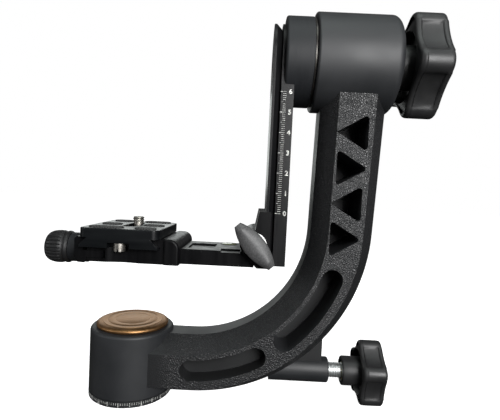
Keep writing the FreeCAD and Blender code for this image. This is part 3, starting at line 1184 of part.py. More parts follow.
def camera_plate():
    """Dovetail plate with rubber pads, stop screws and the sliding 1/4 inch camera screw."""
    plate = keep(new_body("camera_plate"))
    profile = new_sketch(plate, "XZ_Plane")
    half = [(s.plate_tip, s.plate_bottom), (s.plate_tip, s.plate_tip_top), (s.plate_neck, s.plate_neck_z),
            (s.plate_slab, s.plate_neck_z), (s.plate_slab, s.plate_top)]
    right = [(s.plate_x + reach, height) for reach, height in half]
    left = [(s.plate_x - reach, height) for reach, height in reversed(half)]
    draw_polygon(profile, right + left)
    pad(plate, profile, s.plate_half_length * 2, both_ways=True)

    def slab_corner(edge):
        box = edge.BoundBox
        upright = box.XLength < 0.01 and box.YLength < 0.01
        return upright and abs(box.ZLength - (s.plate_top.value - s.plate_neck_z.value)) < 0.01
    round_edges(plate, s.plate_corner.value, slab_corner)

    def top_edge(edge):
        box = edge.BoundBox
        return box.ZLength < 0.01 and abs(box.ZMin - s.plate_top.value) < 0.01
    round_edges(plate, 0.6, top_edge)

    channel = new_sketch(plate, "XY_Plane", s.plate_bottom)
    draw_box(channel, s.plate_x - 7, -16.0, s.plate_x + 7, 18.0)
    pocket(plate, channel, 4.0, backwards=True)
    ends = new_sketch(plate, "XY_Plane", s.plate_bottom)
    for side in (-1, 1):
        draw_box(ends, s.plate_x - 5.3, 18.7 * side, s.plate_x + 5.3, 26.0 * side)
    pocket(plate, ends, 2.5, backwards=True)
    taps = new_sketch(plate, "XY_Plane", s.plate_bottom)
    for side in (-1, 1):
        draw_circle(taps, s.plate_x, s.stop_screw_y * side, 1.5)
    pocket(plate, taps, 7.5, backwards=True)
    slot = new_sketch(plate, "XY_Plane", s.plate_top)
    draw_slot(slot, s.plate_x, -7.8, 11.4, s.camera_screw_radius + 0.2)
    pocket(plate, slot, 6.0)

    # pads: row centre along Y, and the left and right pad's ends along X
    rows = [(-19.0, (-18.0, -1.0), (4.5, 15.3)), (-1.0, (-18.0, -7.4), (4.2, 15.3)),
            (19.6, (-18.0, -7.4), (-0.5, 14.6))]
    beds = new_sketch(plate, "XY_Plane", s.plate_top)
    members = []
    for number, (y, left_ends, right_ends) in enumerate(rows):
        for side, (start, end) in enumerate((left_ends, right_ends)):
            width = 3.6
            draw_level_slot(beds, start + width, end - width, y, width)
            members.append(rubber_pad("plate_pad_%d" % (2 * number + side), start, end, y, width))
    pocket(plate, beds, 0.8)
    group("plate_pads", members)

    stops = []
    for number, side in enumerate((-1, 1)):
        head = rod("stop_head_%d" % number, 2.8, 4.1, s.plate_x, s.stop_screw_y * side, 78.9)
        shank = rod("stop_shank_%d" % number, 1.5, 4.8, s.plate_x, s.stop_screw_y * side, 83.0)
        slot_cut = doc.addObject("Part::Box", "stop_slot_%d" % number)
        slot_cut.Length, slot_cut.Width, slot_cut.Height = 0.8, 6.0, 1.2
        place(slot_cut, s.plate_x - 0.4, s.stop_screw_y * side - 3, 78.9)
        stops.append(cut("stop_screw_%d" % number, fuse("stop_blank_%d" % number, [head, shank]), slot_cut))
    group("stop_screws", stops)

    washer = tube("camera_screw_washer", "z", s.camera_screw_radius + 0.05, 6.0, 83.9, 84.4)
    place(washer, s.plate_x, s.camera_screw_y)
    head = rod("camera_screw_head", 6.4, 2.9, s.plate_x, s.camera_screw_y, 80.9)
    neck = rod("camera_screw_neck", s.camera_neck_radius, s.camera_neck_top - 83.8,
               s.plate_x, s.camera_screw_y, 83.8)
    shank = rod("camera_screw_shank", s.camera_screw_radius, s.camera_screw_top - s.camera_neck_top,
                s.plate_x, s.camera_screw_y, s.camera_neck_top)
    coin_slot = doc.addObject("Part::Box", "coin_slot")
    coin_slot.Length, coin_slot.Width, coin_slot.Height = 1.6, 13.0, 1.3
    place(coin_slot, s.plate_x - 0.8, s.camera_screw_y - 6.5, 80.9)
    keep(cut("camera_screw", fuse("camera_screw_blank", [head, neck, shank]), coin_slot))


def draw_slot(sketch, x, y_start, y_end, radius):
    """A round-ended slot along the sketch's vertical, between its two end centres."""
    draw_long_slot(sketch, [(x, y_start), (x, y_end)], radius, 90)


def draw_level_slot(sketch, x_start, x_end, y, radius):
    """A round-ended slot along the sketch's horizontal, between its two end centres."""
    draw_long_slot(sketch, [(x_start, y), (x_end, y)], radius, 0)


def draw_long_slot(sketch, centres, radius, heading):
    first = sketch.GeometryCount
    (x1, y1), (x2, y2) = [(dim(x), dim(y)) for x, y in centres]
    radius = dim(radius)
    side = Vector(-math.sin(math.radians(heading)), math.cos(math.radians(heading)), 0) * radius.value
    start = flat(x1, y1)
    end = flat(x2, y2)
    sketch.addGeometry([
        Part.LineSegment(start - side, end - side),
        arc(x2, y2, radius, heading - 90, heading + 90),
        Part.LineSegment(end + side, start + side),
        arc(x1, y1, radius, heading + 90, heading + 270),
    ], False)
    for one, other in ((0, 1), (1, 2), (2, 3), (3, 0)):
        sketch.addConstraint(Sketcher.Constraint("Tangent", first + one, 2, first + other, 1))
    fix_point(sketch, first + 1, 3, x2, y2)
    fix_point(sketch, first + 3, 3, x1, y1)
    fix_radius(sketch, first + 1, radius)


def rubber_pad(name, start, end, y, width):
    """One round-ended rubber pad, let 0.8 mm into the plate and 0.6 mm proud of it."""
    body = doc.addObject("PartDesign::Body", name)
    sketch = new_sketch(body, "XY_Plane", s.plate_top - 0.8)
    draw_level_slot(sketch, start + width, end - width, y, width)
    pad(body, sketch, 1.4)
    return body


# ----------------------------------------------------------------------------------- build and save

def build():
    pan_base()
    arm_casting()
    pan_lock()
    tilt_bearings()
    tilt_drum()
    tilt_lock()
    rail()
    platform()
    rail_jaw()
    paddle()
    level()
    clamp()
    camera_plate()
    doc.recompute()


def save():
    broken = [item.Label for item in doc.Objects
              if any(state in item.State for state in ("Invalid", "Error"))]
    if broken:
        raise RuntimeError("these objects failed: " + ", ".join(broken))
    for piece in pieces:
        if piece.Shape.isNull() or not piece.Shape.isValid():
            raise RuntimeError(piece.Label + " has no valid shape")
    os.makedirs("parts", exist_ok=True)
    for piece in pieces:
        piece.Shape.exportStep(os.path.join("parts", piece.Label + ".step"))
        print("%-24s %2d solid(s) %10.1f mm3" % (piece.Label, len(piece.Shape.Solids), piece.Shape.Volume))


build()
save()
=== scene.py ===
"""Gimbal tripod head: the finishes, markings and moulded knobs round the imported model."""
import bmesh
import bpy
import math
from mathutils import Matrix, Vector


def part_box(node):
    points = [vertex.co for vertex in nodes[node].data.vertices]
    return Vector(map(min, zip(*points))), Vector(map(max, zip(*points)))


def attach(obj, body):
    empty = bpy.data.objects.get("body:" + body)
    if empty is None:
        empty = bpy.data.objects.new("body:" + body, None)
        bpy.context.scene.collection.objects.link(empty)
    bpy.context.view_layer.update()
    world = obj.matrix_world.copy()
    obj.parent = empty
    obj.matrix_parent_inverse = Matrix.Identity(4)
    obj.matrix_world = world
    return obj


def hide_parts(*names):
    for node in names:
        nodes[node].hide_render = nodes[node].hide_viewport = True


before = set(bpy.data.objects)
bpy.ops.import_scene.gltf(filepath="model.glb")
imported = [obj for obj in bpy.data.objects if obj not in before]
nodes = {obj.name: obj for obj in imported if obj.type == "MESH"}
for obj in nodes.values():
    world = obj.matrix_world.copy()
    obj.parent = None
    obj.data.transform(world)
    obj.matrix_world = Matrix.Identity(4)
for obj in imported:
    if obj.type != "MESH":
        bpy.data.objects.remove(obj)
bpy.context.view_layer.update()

# ------------------------------------------------------------------------------------- the studio
# A white table and white surroundings with four soft lamps: the broad key at the front right, and
# weaker ones above, at the left and behind. The camera stands in front of the scale side, a little
# above the clamp platform. Places are in millimetres, the camera's angles in radians.

MM = 0.001
CAMERA_PLACE = (62.42, -220.705, 111.295)
CAMERA_YAW = -0.007411
CAMERA_PITCH = -0.046587
CAMERA_ROLL = 0.048537
FOCAL_PIXELS = 410.6546
IMAGE_WIDTH = 500
SENSOR = 36.0

forward = Vector((math.sin(CAMERA_YAW) * math.cos(CAMERA_PITCH),
                  math.cos(CAMERA_YAW) * math.cos(CAMERA_PITCH), math.sin(CAMERA_PITCH)))
level_right = Vector((math.cos(CAMERA_YAW), -math.sin(CAMERA_YAW), 0))
level_up = level_right.cross(forward)
camera_right = math.cos(CAMERA_ROLL) * level_right + math.sin(CAMERA_ROLL) * level_up
camera_up = math.cos(CAMERA_ROLL) * level_up - math.sin(CAMERA_ROLL) * level_right
camera_data = bpy.data.cameras.new("camera")
camera_data.sensor_width = SENSOR
camera_data.lens = FOCAL_PIXELS / IMAGE_WIDTH * SENSOR
camera_data.clip_start = 0.01
camera = bpy.data.objects.new("camera", camera_data)
camera.matrix_world = Matrix.Translation(Vector(CAMERA_PLACE) * MM) @ Matrix(
    (camera_right, camera_up, -forward)).transposed().to_4x4()
bpy.context.scene.collection.objects.link(camera)
bpy.context.scene.camera = camera
bpy.context.scene.view_settings.view_transform = "Standard"


def add_lamp(name, place, target, width, height, watts, colour=(1, 1, 1)):
    """A soft rectangular lamp, placed and aimed in millimetres."""
    data = bpy.data.lights.new(name, "AREA")
    data.shape = "RECTANGLE"
    data.size = width * MM
    data.size_y = height * MM
    data.energy = watts
    data.color = colour
    lamp = bpy.data.objects.new(name, data)
    aim = (Vector(target) - Vector(place)).normalized()
    turn = aim.to_track_quat("-Z", "Y").to_matrix().to_4x4()
    lamp.matrix_world = Matrix.Translation(Vector(place) * MM) @ turn
    bpy.context.scene.collection.objects.link(lamp)


add_lamp("key", (330, -620, 300), (70, 0, 110), 340, 340, 8.0)
add_lamp("top", (40, -160, 620), (50, 0, 60), 500, 300, 1.3, (0.92, 1, 0.97))
add_lamp("left", (-620, -320, 260), (0, 0, 60), 300, 400, 1.0)
add_lamp("rear", (-115, 400, 190), (10, 0, 70), 320, 150, 0.30, (0.95, 1, 0.98))


def white_for_camera(tree, shaded, bright):
    """Mix two shaders so that the camera, also through glass, sees the bright one."""
    path = tree.nodes.new("ShaderNodeLightPath")
    seen = tree.nodes.new("ShaderNodeMath")
    seen.operation = "MAXIMUM"
    tree.links.new(path.outputs["Is Camera Ray"], seen.inputs[0])
    tree.links.new(path.outputs["Is Transmission Ray"], seen.inputs[1])
    mix = tree.nodes.new("ShaderNodeMixShader")
    tree.links.new(seen.outputs[0], mix.inputs[0])
    tree.links.new(shaded, mix.inputs[1])
    tree.links.new(bright, mix.inputs[2])
    return mix.outputs[0]


# the surroundings light the head dimly, more from behind it than from the camera's side
DARK_SIDE = (0.030, 0.030, 0.032, 1)
LIGHT_SIDE = (0.14, 0.14, 0.14, 1)
world = bpy.data.worlds.new("studio")
bpy.context.scene.world = world
world.use_nodes = True
tree = world.node_tree
tree.nodes.clear()
direction = tree.nodes.new("ShaderNodeTexCoord")
split = tree.nodes.new("ShaderNodeSeparateXYZ")
tree.links.new(direction.outputs["Generated"], split.inputs[0])
depth_ramp = tree.nodes.new("ShaderNodeValToRGB")
depth_ramp.color_ramp.elements[0].position = 0.25
depth_ramp.color_ramp.elements[0].color = DARK_SIDE
depth_ramp.color_ramp.elements[1].position = 0.80
depth_ramp.color_ramp.elements[1].color = LIGHT_SIDE
half = tree.nodes.new("ShaderNodeMath")
half.operation = "MULTIPLY_ADD"
half.inputs[1].default_value = 0.5
half.inputs[2].default_value = 0.5
tree.links.new(split.outputs["Y"], half.inputs[0])
tree.links.new(half.outputs[0], depth_ramp.inputs[0])
around = tree.nodes.new("ShaderNodeBackground")
tree.links.new(depth_ramp.outputs[0], around.inputs[0])
paper = tree.nodes.new("ShaderNodeBackground")
paper.inputs[0].default_value = (1, 1, 1, 1)
out = tree.nodes.new("ShaderNodeOutputWorld")
tree.links.new(white_for_camera(tree, around.outputs[0], paper.outputs[0]), out.inputs[0])

# the table looks white, but sends little light back to the head
TABLE_REACH = 3.0
TABLE_HEIGHT = -1.05 * MM
WHITE_SHEET = (0.80, 0.80, 0.80, 1)
DIM_SHEET = (0.06, 0.06, 0.06, 1)
SHEET_GLOW = 0.985
corners = [(x * TABLE_REACH, y * TABLE_REACH, TABLE_HEIGHT) for x, y in ((-1, -1), (1, -1), (1, 1), (-1, 1))]
table_mesh = bpy.data.meshes.new("table")
table_mesh.from_pydata(corners, [], [(0, 1, 2, 3)])
table = bpy.data.objects.new("table", table_mesh)
bpy.context.scene.collection.objects.link(table)
table_paper = bpy.data.materials.new("table_paper")
table_paper.use_nodes = True
tree = table_paper.node_tree
tree.nodes.clear()
white_sheet = tree.nodes.new("ShaderNodeBsdfDiffuse")
white_sheet.inputs["Color"].default_value = WHITE_SHEET
glow = tree.nodes.new("ShaderNodeEmission")
glow.inputs["Strength"].default_value = SHEET_GLOW
seen_sheet = tree.nodes.new("ShaderNodeAddShader")
tree.links.new(white_sheet.outputs[0], seen_sheet.inputs[0])
tree.links.new(glow.outputs[0], seen_sheet.inputs[1])
dim_sheet = tree.nodes.new("ShaderNodeBsdfDiffuse")
dim_sheet.inputs["Color"].default_value = DIM_SHEET
path = tree.nodes.new("ShaderNodeLightPath")
pick = tree.nodes.new("ShaderNodeMixShader")
tree.links.new(path.outputs["Is Camera Ray"], pick.inputs[0])
tree.links.new(dim_sheet.outputs[0], pick.inputs[1])
tree.links.new(seen_sheet.outputs[0], pick.inputs[2])
out = tree.nodes.new("ShaderNodeOutputMaterial")
tree.links.new(pick.outputs[0], out.inputs[0])
table_mesh.materials.append(table_paper)

# ------------------------------------------------------------------------------------- pan base
# The base is a turned aluminium disc, blacked and lacquered satin. Its rim is the pan index: white
# engraved lines, a longer one each 15 degrees, and plain numbers each 30 degrees.


def new_finish(name, colour, metallic, roughness, shine=0.5):
    """A material with a Principled shader; returns the material, its tree and the shader."""
    material = bpy.data.materials.new(name)
    material.use_nodes = True
    tree = material.node_tree
    tree.nodes.clear()
    shader = tree.nodes.new("ShaderNodeBsdfPrincipled")
    shader.inputs["Base Color"].default_value = (*colour, 1)
    shader.inputs["Metallic"].default_value = metallic
    shader.inputs["Roughness"].default_value = roughness
    shader.inputs["Specular IOR Level"].default_value = shine
    output = tree.nodes.new("ShaderNodeOutputMaterial")
    tree.links.new(shader.outputs[0], output.inputs[0])
    return material, tree, shader


def object_noise(tree, scale, detail, stretch=(1, 1, 1)):
    """Noise on the piece's own coordinates; scale is in cells per metre."""
    place = tree.nodes.new("ShaderNodeTexCoord")
    mapping = tree.nodes.new("ShaderNodeMapping")
    mapping.inputs["Scale"].default_value = stretch
    noise = tree.nodes.new("ShaderNodeTexNoise")
    noise.inputs["Scale"].default_value = scale
    noise.inputs["Detail"].default_value = detail
    tree.links.new(place.outputs["Object"], mapping.inputs[0])
    tree.links.new(mapping.outputs[0], noise.inputs["Vector"])
    return noise


def spread(tree, source, low, high, start=0.3, end=0.7):
    """Map a texture's value from start..end to low..high."""
    remap = tree.nodes.new("ShaderNodeMapRange")
    remap.inputs["From Min"].default_value = start
    remap.inputs["From Max"].default_value = end
    remap.inputs["To Min"].default_value = low
    remap.inputs["To Max"].default_value = high
    tree.links.new(source, remap.inputs["Value"])
    return remap.outputs[0]


def tint(tree, shader, source, dark, light):
    """Vary the base colour between two near shades."""
    mix = tree.nodes.new("ShaderNodeMix")
    mix.data_type = "RGBA"
    mix.inputs["A"].default_value = (*dark, 1)
    mix.inputs["B"].default_value = (*light, 1)
    tree.links.new(source, mix.inputs["Factor"])
    tree.links.new(mix.outputs["Result"], shader.inputs["Base Color"])


def emboss(tree, shader, source, strength, depth):
    """Raise the surface by a texture; depth is in metres."""
    bump = tree.nodes.new("ShaderNodeBump")
    bump.inputs["Strength"].default_value = strength
    bump.inputs["Distance"].default_value = depth
    tree.links.new(source, bump.inputs["Height"])
    tree.links.new(bump.outputs[0], shader.inputs["Normal"])
    return bump


def grained(name, dark, light, metallic, roughness, cells, detail=3.0,
            rough=None, bump=None, contrast=(0.3, 0.7)):
    """A finish whose shade, and perhaps its roughness (low, high) and height (strength, depth),
    follow one fine grain; cells is the grain's fineness in cells per metre."""
    material, tree, shader = new_finish(name, dark, metallic, roughness)
    grain = object_noise(tree, cells, detail)
    tint(tree, shader, spread(tree, grain.outputs["Fac"], 0.0, 1.0, *contrast), dark, light)
    if rough:
        tree.links.new(spread(tree, grain.outputs["Fac"], *rough), shader.inputs["Roughness"])
    if bump:
        emboss(tree, shader, grain.outputs["Fac"], *bump)
    return material


def satin_lacquer(name, dark, light, roughness):
    """Smooth satin black: slight cloudiness and faint orange peel."""
    material, tree, shader = new_finish(name, dark, 0.0, roughness)
    cloud = object_noise(tree, 55.0, 3.0)
    tint(tree, shader, spread(tree, cloud.outputs["Fac"], 0.0, 1.0), dark, light)
    tree.links.new(spread(tree, cloud.outputs["Fac"], roughness - 0.05, roughness + 0.06),
                   shader.inputs["Roughness"])
    peel = object_noise(tree, 1900.0, 2.0)
    emboss(tree, shader, peel.outputs["Fac"], 0.10, 0.00012)
    return material


def copied(node, name):
    """A merged copy of a node's mesh, ready for modelling."""
    source = nodes[node].data
    mesh = bpy.data.meshes.new(name)
    work = bmesh.new()
    work.from_mesh(source)
    bmesh.ops.remove_doubles(work, verts=work.verts, dist=1e-6)
    work.to_mesh(mesh)
    work.free()
    mesh.materials.clear()
    piece = bpy.data.objects.new(name, mesh)
    bpy.context.scene.collection.objects.link(piece)
    return piece


def applied(piece):
    """Turn a piece's modifiers into a plain mesh."""
    view = bpy.context.evaluated_depsgraph_get()
    mesh = bpy.data.meshes.new_from_object(piece.evaluated_get(view), depsgraph=view)
    piece.modifiers.clear()
    old = piece.data
    piece.data = mesh
    bpy.data.meshes.remove(old)
    return piece


def smooth_by_angle(piece, degrees):
    """Shade smooth, with edges sharper than an angle kept crisp."""
    mesh = piece.data
    mesh.shade_smooth()
    mesh.set_sharp_from_angle(angle=math.radians(degrees))


def finished(piece, material, body, node):
    """Dress a piece, stand it for a node and let it ride."""
    if material is not None:
        piece.data.materials.clear()
        piece.data.materials.append(material)
    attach(piece, body)
    if node:
        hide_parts(node)
    return piece


def softened(node, width, material, body, angle=28.0):
    """A node's shape with its sharp edges broken, as machined and tumbled metal has them."""
    piece = copied(node, node + "_finished")
    work = bmesh.new()
    work.from_mesh(piece.data)
    bmesh.ops.dissolve_limit(work, angle_limit=math.radians(0.6), use_dissolve_boundaries=False,
                             verts=work.verts, edges=work.edges, delimit={"NORMAL"})
    work.to_mesh(piece.data)
    work.free()
    bevel = piece.modifiers.new("edges", "BEVEL")
    bevel.width = width * MM
    bevel.segments = 2
    bevel.limit_method = "ANGLE"
    bevel.angle_limit = math.radians(angle)
    bevel.use_clamp_overlap = True
    bevel.harden_normals = False
    bevel.miter_outer = "MITER_ARC"
    applied(piece)
    smooth_by_angle(piece, 34)
    even = piece.modifiers.new("even", "WEIGHTED_NORMAL")
    even.keep_sharp = True
    even.weight = 100
    applied(piece)
    return finished(piece, material, body, node)


satin_black = satin_lacquer("satin_black", (0.010, 0.011, 0.012), (0.016, 0.017, 0.018), 0.50)
softened("base_plate", 0.3, satin_black, "base")

mark_white = grained("mark_white", (0.20, 0.20, 0.19), (0.66, 0.66, 0.63), 0.0, 0.6, 1400.0,
                     contrast=(0.35, 0.55))


def marks_tree(name, on_ring):
    """Geometry nodes for a set of like bars, set out on a ring or along a line."""
    group = bpy.data.node_groups.new(name, "GeometryNodeTree")
    face = group.interface
    face.new_socket("Geometry", in_out="OUTPUT", socket_type="NodeSocketGeometry")
    for label, kind in (("Count", "NodeSocketInt"), ("Radius", "NodeSocketFloat"),
                        ("Start", "NodeSocketVector"), ("Step", "NodeSocketVector"),
                        ("Bar", "NodeSocketVector"), ("Paint", "NodeSocketMaterial")):
        face.new_socket(label, in_out="INPUT", socket_type=kind)
    make = group.nodes.new
    link = group.links.new
    given = make("NodeGroupInput")
    bar = make("GeometryNodeMeshCube")
    link(given.outputs["Bar"], bar.inputs["Size"])
    onto = make("GeometryNodeInstanceOnPoints")
    link(bar.outputs["Mesh"], onto.inputs["Instance"])
    if on_ring:
        ring = make("GeometryNodeMeshCircle")
        link(given.outputs["Count"], ring.inputs["Vertices"])
        link(given.outputs["Radius"], ring.inputs["Radius"])
        link(ring.outputs["Mesh"], onto.inputs["Points"])
        index = make("GeometryNodeInputIndex")
        share = make("ShaderNodeMath")
        share.operation = "DIVIDE"
        link(index.outputs[0], share.inputs[0])
        link(given.outputs["Count"], share.inputs[1])
        turn = make("ShaderNodeMath")
        turn.operation = "MULTIPLY"
        turn.inputs[1].default_value = math.tau
        link(share.outputs[0], turn.inputs[0])
        spin = make("ShaderNodeCombineXYZ")
        link(turn.outputs[0], spin.inputs["Z"])
        link(spin.outputs[0], onto.inputs["Rotation"])
    else:
        line = make("GeometryNodeMeshLine")
        link(given.outputs["Count"], line.inputs["Count"])
        link(given.outputs["Step"], line.inputs["Offset"])
        link(line.outputs["Mesh"], onto.inputs["Points"])
    real = make("GeometryNodeRealizeInstances")
    link(onto.outputs["Instances"], real.inputs[0])
    shift = make("GeometryNodeTransform")
    link(real.outputs[0], shift.inputs[0])
    link(given.outputs["Start"], shift.inputs["Translation"])
    paint = make("GeometryNodeSetMaterial")
    link(shift.outputs[0], paint.inputs[0])
    link(given.outputs["Paint"], paint.inputs["Material"])
    result = make("NodeGroupOutput")
    link(paint.outputs[0], result.inputs[0])
    return group


def grown(name, group, **values):
    """Run a node tree with its named inputs and return the result as a plain mesh object."""
    holder = bpy.data.meshes.new(name)
    piece = bpy.data.objects.new(name, holder)
    bpy.context.scene.collection.objects.link(piece)
    modifier = piece.modifiers.new(name, "NODES")
    modifier.node_group = group
    for item in group.interface.items_tree:
        if item.in_out == "INPUT" and item.name in values:
            modifier[item.identifier] = values[item.name]
    return applied(piece)


RIM = 21.8 * MM
MARK_PROUD = 0.03 * MM
MINOR_STEP = 3
MAJOR_STEP = 15
NUMBER_STEP = 30
NUMBER_HEIGHT = 1.1 * MM
NUMBER_LEVEL = 0.62 * MM
ring_marks = marks_tree("ring_marks", True)
for label, step, level, proud, thick, length in (("index_minor_lines", MINOR_STEP, 2.0, 2.0, 0.16, 1.2),
                                                 ("index_major_lines", MAJOR_STEP, 1.75, 2.6, 0.30, 1.9)):
    lines = grown(label, ring_marks, Count=360 // step, Radius=RIM, Start=(0, 0, level * MM),
                  Bar=(proud * MARK_PROUD, thick * MM, length * MM), Paint=mark_white)
    finished(lines, None, "base", None)


def number_piece(name, words, size, matrix, bold=0.0):
    """Plain engraved and filled figures as a thin raised mesh."""
    curve = bpy.data.curves.new(name, "FONT")
    curve.body = words
    curve.size = size
    curve.extrude = MARK_PROUD
    curve.offset = bold
    curve.align_x = "CENTER"
    curve.align_y = "CENTER"
    curve.resolution_u = 3
    holder = bpy.data.objects.new(name, curve)
    bpy.context.scene.collection.objects.link(holder)
    view = bpy.context.evaluated_depsgraph_get()
    mesh = bpy.data.meshes.new_from_object(holder.evaluated_get(view), depsgraph=view)
    bpy.data.objects.remove(holder)
    mesh.transform(matrix)
    mesh.materials.clear()
    mesh.materials.append(mark_white)
    piece = bpy.data.objects.new(name, mesh)
    bpy.context.scene.collection.objects.link(piece)
    return piece


def joined(name, members):
    """One mesh from several."""
    work = bmesh.new()
    for member in members:
        work.from_mesh(member.data)
    mesh = bpy.data.meshes.new(name)
    work.to_mesh(mesh)
    work.free()
    for material in members[0].data.materials:
        mesh.materials.append(material)
    for member in members:
        bpy.data.objects.remove(member)
    piece = bpy.data.objects.new(name, mesh)
    bpy.context.scene.collection.objects.link(piece)
    return piece


numbers = []
for degrees in range(0, 360, NUMBER_STEP):
    angle = math.radians(degrees - 90)
    outward = Vector((math.cos(angle), math.sin(angle), 0))
    along = Vector((-math.sin(angle), math.cos(angle), 0))
    seat = outward * RIM
    seat.z = NUMBER_LEVEL
    facing = Matrix((along, Vector((0, 0, 1)), outward)).transposed().to_4x4()
    place = Matrix.Translation(seat) @ facing
    numbers.append(number_piece("index_%d" % degrees, str(degrees), NUMBER_HEIGHT, place))
finished(joined("index_numbers", numbers), None, "base", None)

# ------------------------------------------------------------------------------------- inner works
# Bearings, shafts, pins, washers and nuts are ground or turned steel; rods, screws and brake parts
# have finishes of their own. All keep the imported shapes, and most show only when the head is taken
# apart.

ground_steel = grained("ground_steel", (0.56, 0.56, 0.57), (0.56, 0.56, 0.57), 1.0, 0.22, 900.0,
                       rough=(0.16, 0.32), bump=(0.05, 0.00005))
bright_zinc = grained("bright_zinc", (0.72, 0.76, 0.76), (0.88, 0.90, 0.90), 1.0, 0.40, 1300.0,
                      rough=(0.36, 0.48), bump=(0.06, 0.00005))
yellow_insert = grained("yellow_insert", (0.42, 0.32, 0.12), (0.66, 0.53, 0.26), 1.0, 0.34, 1100.0, 2.0)
black_oxide = grained("black_oxide", (0.022, 0.022, 0.024), (0.045, 0.045, 0.047), 0.6, 0.36, 1200.0)
oiled_washer = grained("oiled_washer", (0.035, 0.034, 0.032), (0.075, 0.070, 0.062), 0.7, 0.34, 600.0)
nylon = grained("nylon", (0.80, 0.80, 0.78), (0.90, 0.90, 0.88), 0.0, 0.38, 700.0, 2.0)
shader = nylon.node_tree.nodes["Principled BSDF"]
shader.inputs["Subsurface Weight"].default_value = 0.15
shader.inputs["Subsurface Radius"].default_value = (0.001, 0.001, 0.001)

INNER = {
    ground_steel: ["pan_spindle", "pan_brake_sleeve", "pan_spindle_washer", "pan_spindle_nut",
                   "pan_lower_inner_race", "pan_upper_inner_race", "pan_lower_outer_race",
                   "pan_upper_outer_race", "pan_lower_balls", "pan_upper_balls",
                   "tilt_inner_housing_race", "tilt_outer_housing_race", "tilt_inner_balls",
                   "tilt_outer_balls", "tilt_shaft", "flange_screws", "tilt_spacer",
                   "tilt_shaft_washer", "tilt_shaft_nut", "tilt_inner_shaft_race",
                   "tilt_outer_shaft_race", "rail_jaw_pins", "rail_jaw_spring"],
    bright_zinc: ["tilt_lock_rod", "paddle_screw", "clamp_screw"],
    yellow_insert: ["tilt_lock_insert"],
    nylon: ["pan_brake_plug", "tilt_brake_pad", "camera_screw_washer"],
    black_oxide: ["base_screws", "tilt_cover_screws"],
    oiled_washer: ["tilt_friction_washer"],
}
for finish, names in INNER.items():
    for name in names:
        mesh = nodes[name].data
        mesh.materials.clear()
        mesh.materials.append(finish)
        smooth_by_angle(nodes[name], 30)

# ------------------------------------------------------------------------------------- arm casting
# The arm is one aluminium casting. Its fronts and slanted sides wear a black leather-grain powder
# coat; the two housings, the narrow edge strips, the lock boss and the pockets are smooth satin.
# The pockets' satin is painted much darker than the arm's, as painted shade inside these recesses.

PAN_HOUSING = 21.8 * MM
TILT_HEIGHT = 179.7 * MM
TILT_HOUSING = 25.2 * MM
TILT_HOUSING_FOOT = 150.0 * MM
LOCK_HEIGHT = 16.0 * MM
LOCK_BOSS = 7.2 * MM
LOCK_BOSS_START = 70.0 * MM
FRONT = 17.5 * MM
POCKET_SILL = 0.8 * MM
POCKET_WALL = 12.0 * MM
COAT_BUILD = 0.2 * MM
PEBBLES = 1000.0
PEBBLE_HEIGHT = 0.26 * MM
FULL_GRAIN = 0.66
FADED_GRAIN = 0.12

leather_coat, tree, shader = new_finish("leather_coat", (0.012, 0.012, 0.013), 0.0, 0.50, 0.58)
spot = tree.nodes.new("ShaderNodeTexCoord")
wander = object_noise(tree, 700.0, 2.0)
pull = tree.nodes.new("ShaderNodeVectorMath")
pull.operation = "MULTIPLY_ADD"
pull.inputs[1].default_value = (0.0007, 0.0007, 0.0007)
tree.links.new(wander.outputs["Color"], pull.inputs[0])
tree.links.new(spot.outputs["Object"], pull.inputs[2])
cells = tree.nodes.new("ShaderNodeTexVoronoi")
cells.feature = "DISTANCE_TO_EDGE"
cells.inputs["Scale"].default_value = PEBBLES
tree.links.new(pull.outputs[0], cells.inputs["Vector"])
pebble = spread(tree, cells.outputs["Distance"], 0.0, 1.0, 0.0, 0.30)
fine = object_noise(tree, 3000.0, 3.0)
height = tree.nodes.new("ShaderNodeMath")
height.operation = "MULTIPLY_ADD"
height.inputs[1].default_value = 0.35
tree.links.new(fine.outputs["Fac"], height.inputs[0])
tree.links.new(pebble, height.inputs[2])
relief = emboss(tree, shader, height.outputs[0], FULL_GRAIN, PEBBLE_HEIGHT)
# the grain fades out towards the pan housing
from_pan = tree.nodes.new("ShaderNodeSeparateXYZ")
tree.links.new(spot.outputs["Object"], from_pan.inputs[0])
fade = spread(tree, from_pan.outputs["X"], FADED_GRAIN, FULL_GRAIN,
              PAN_HOUSING - 5 * MM, PAN_HOUSING + 3 * MM)
tree.links.new(fade, relief.inputs["Strength"])
tint(tree, shader, pebble, (0.0025, 0.0027, 0.0032), (0.0085, 0.0090, 0.0105))
tree.links.new(spread(tree, pebble, 0.58, 0.40, 0.0, 1.0), shader.inputs["Roughness"])

arm_satin = satin_lacquer("arm_satin", (0.010, 0.011, 0.0125), (0.015, 0.016, 0.018), 0.56)
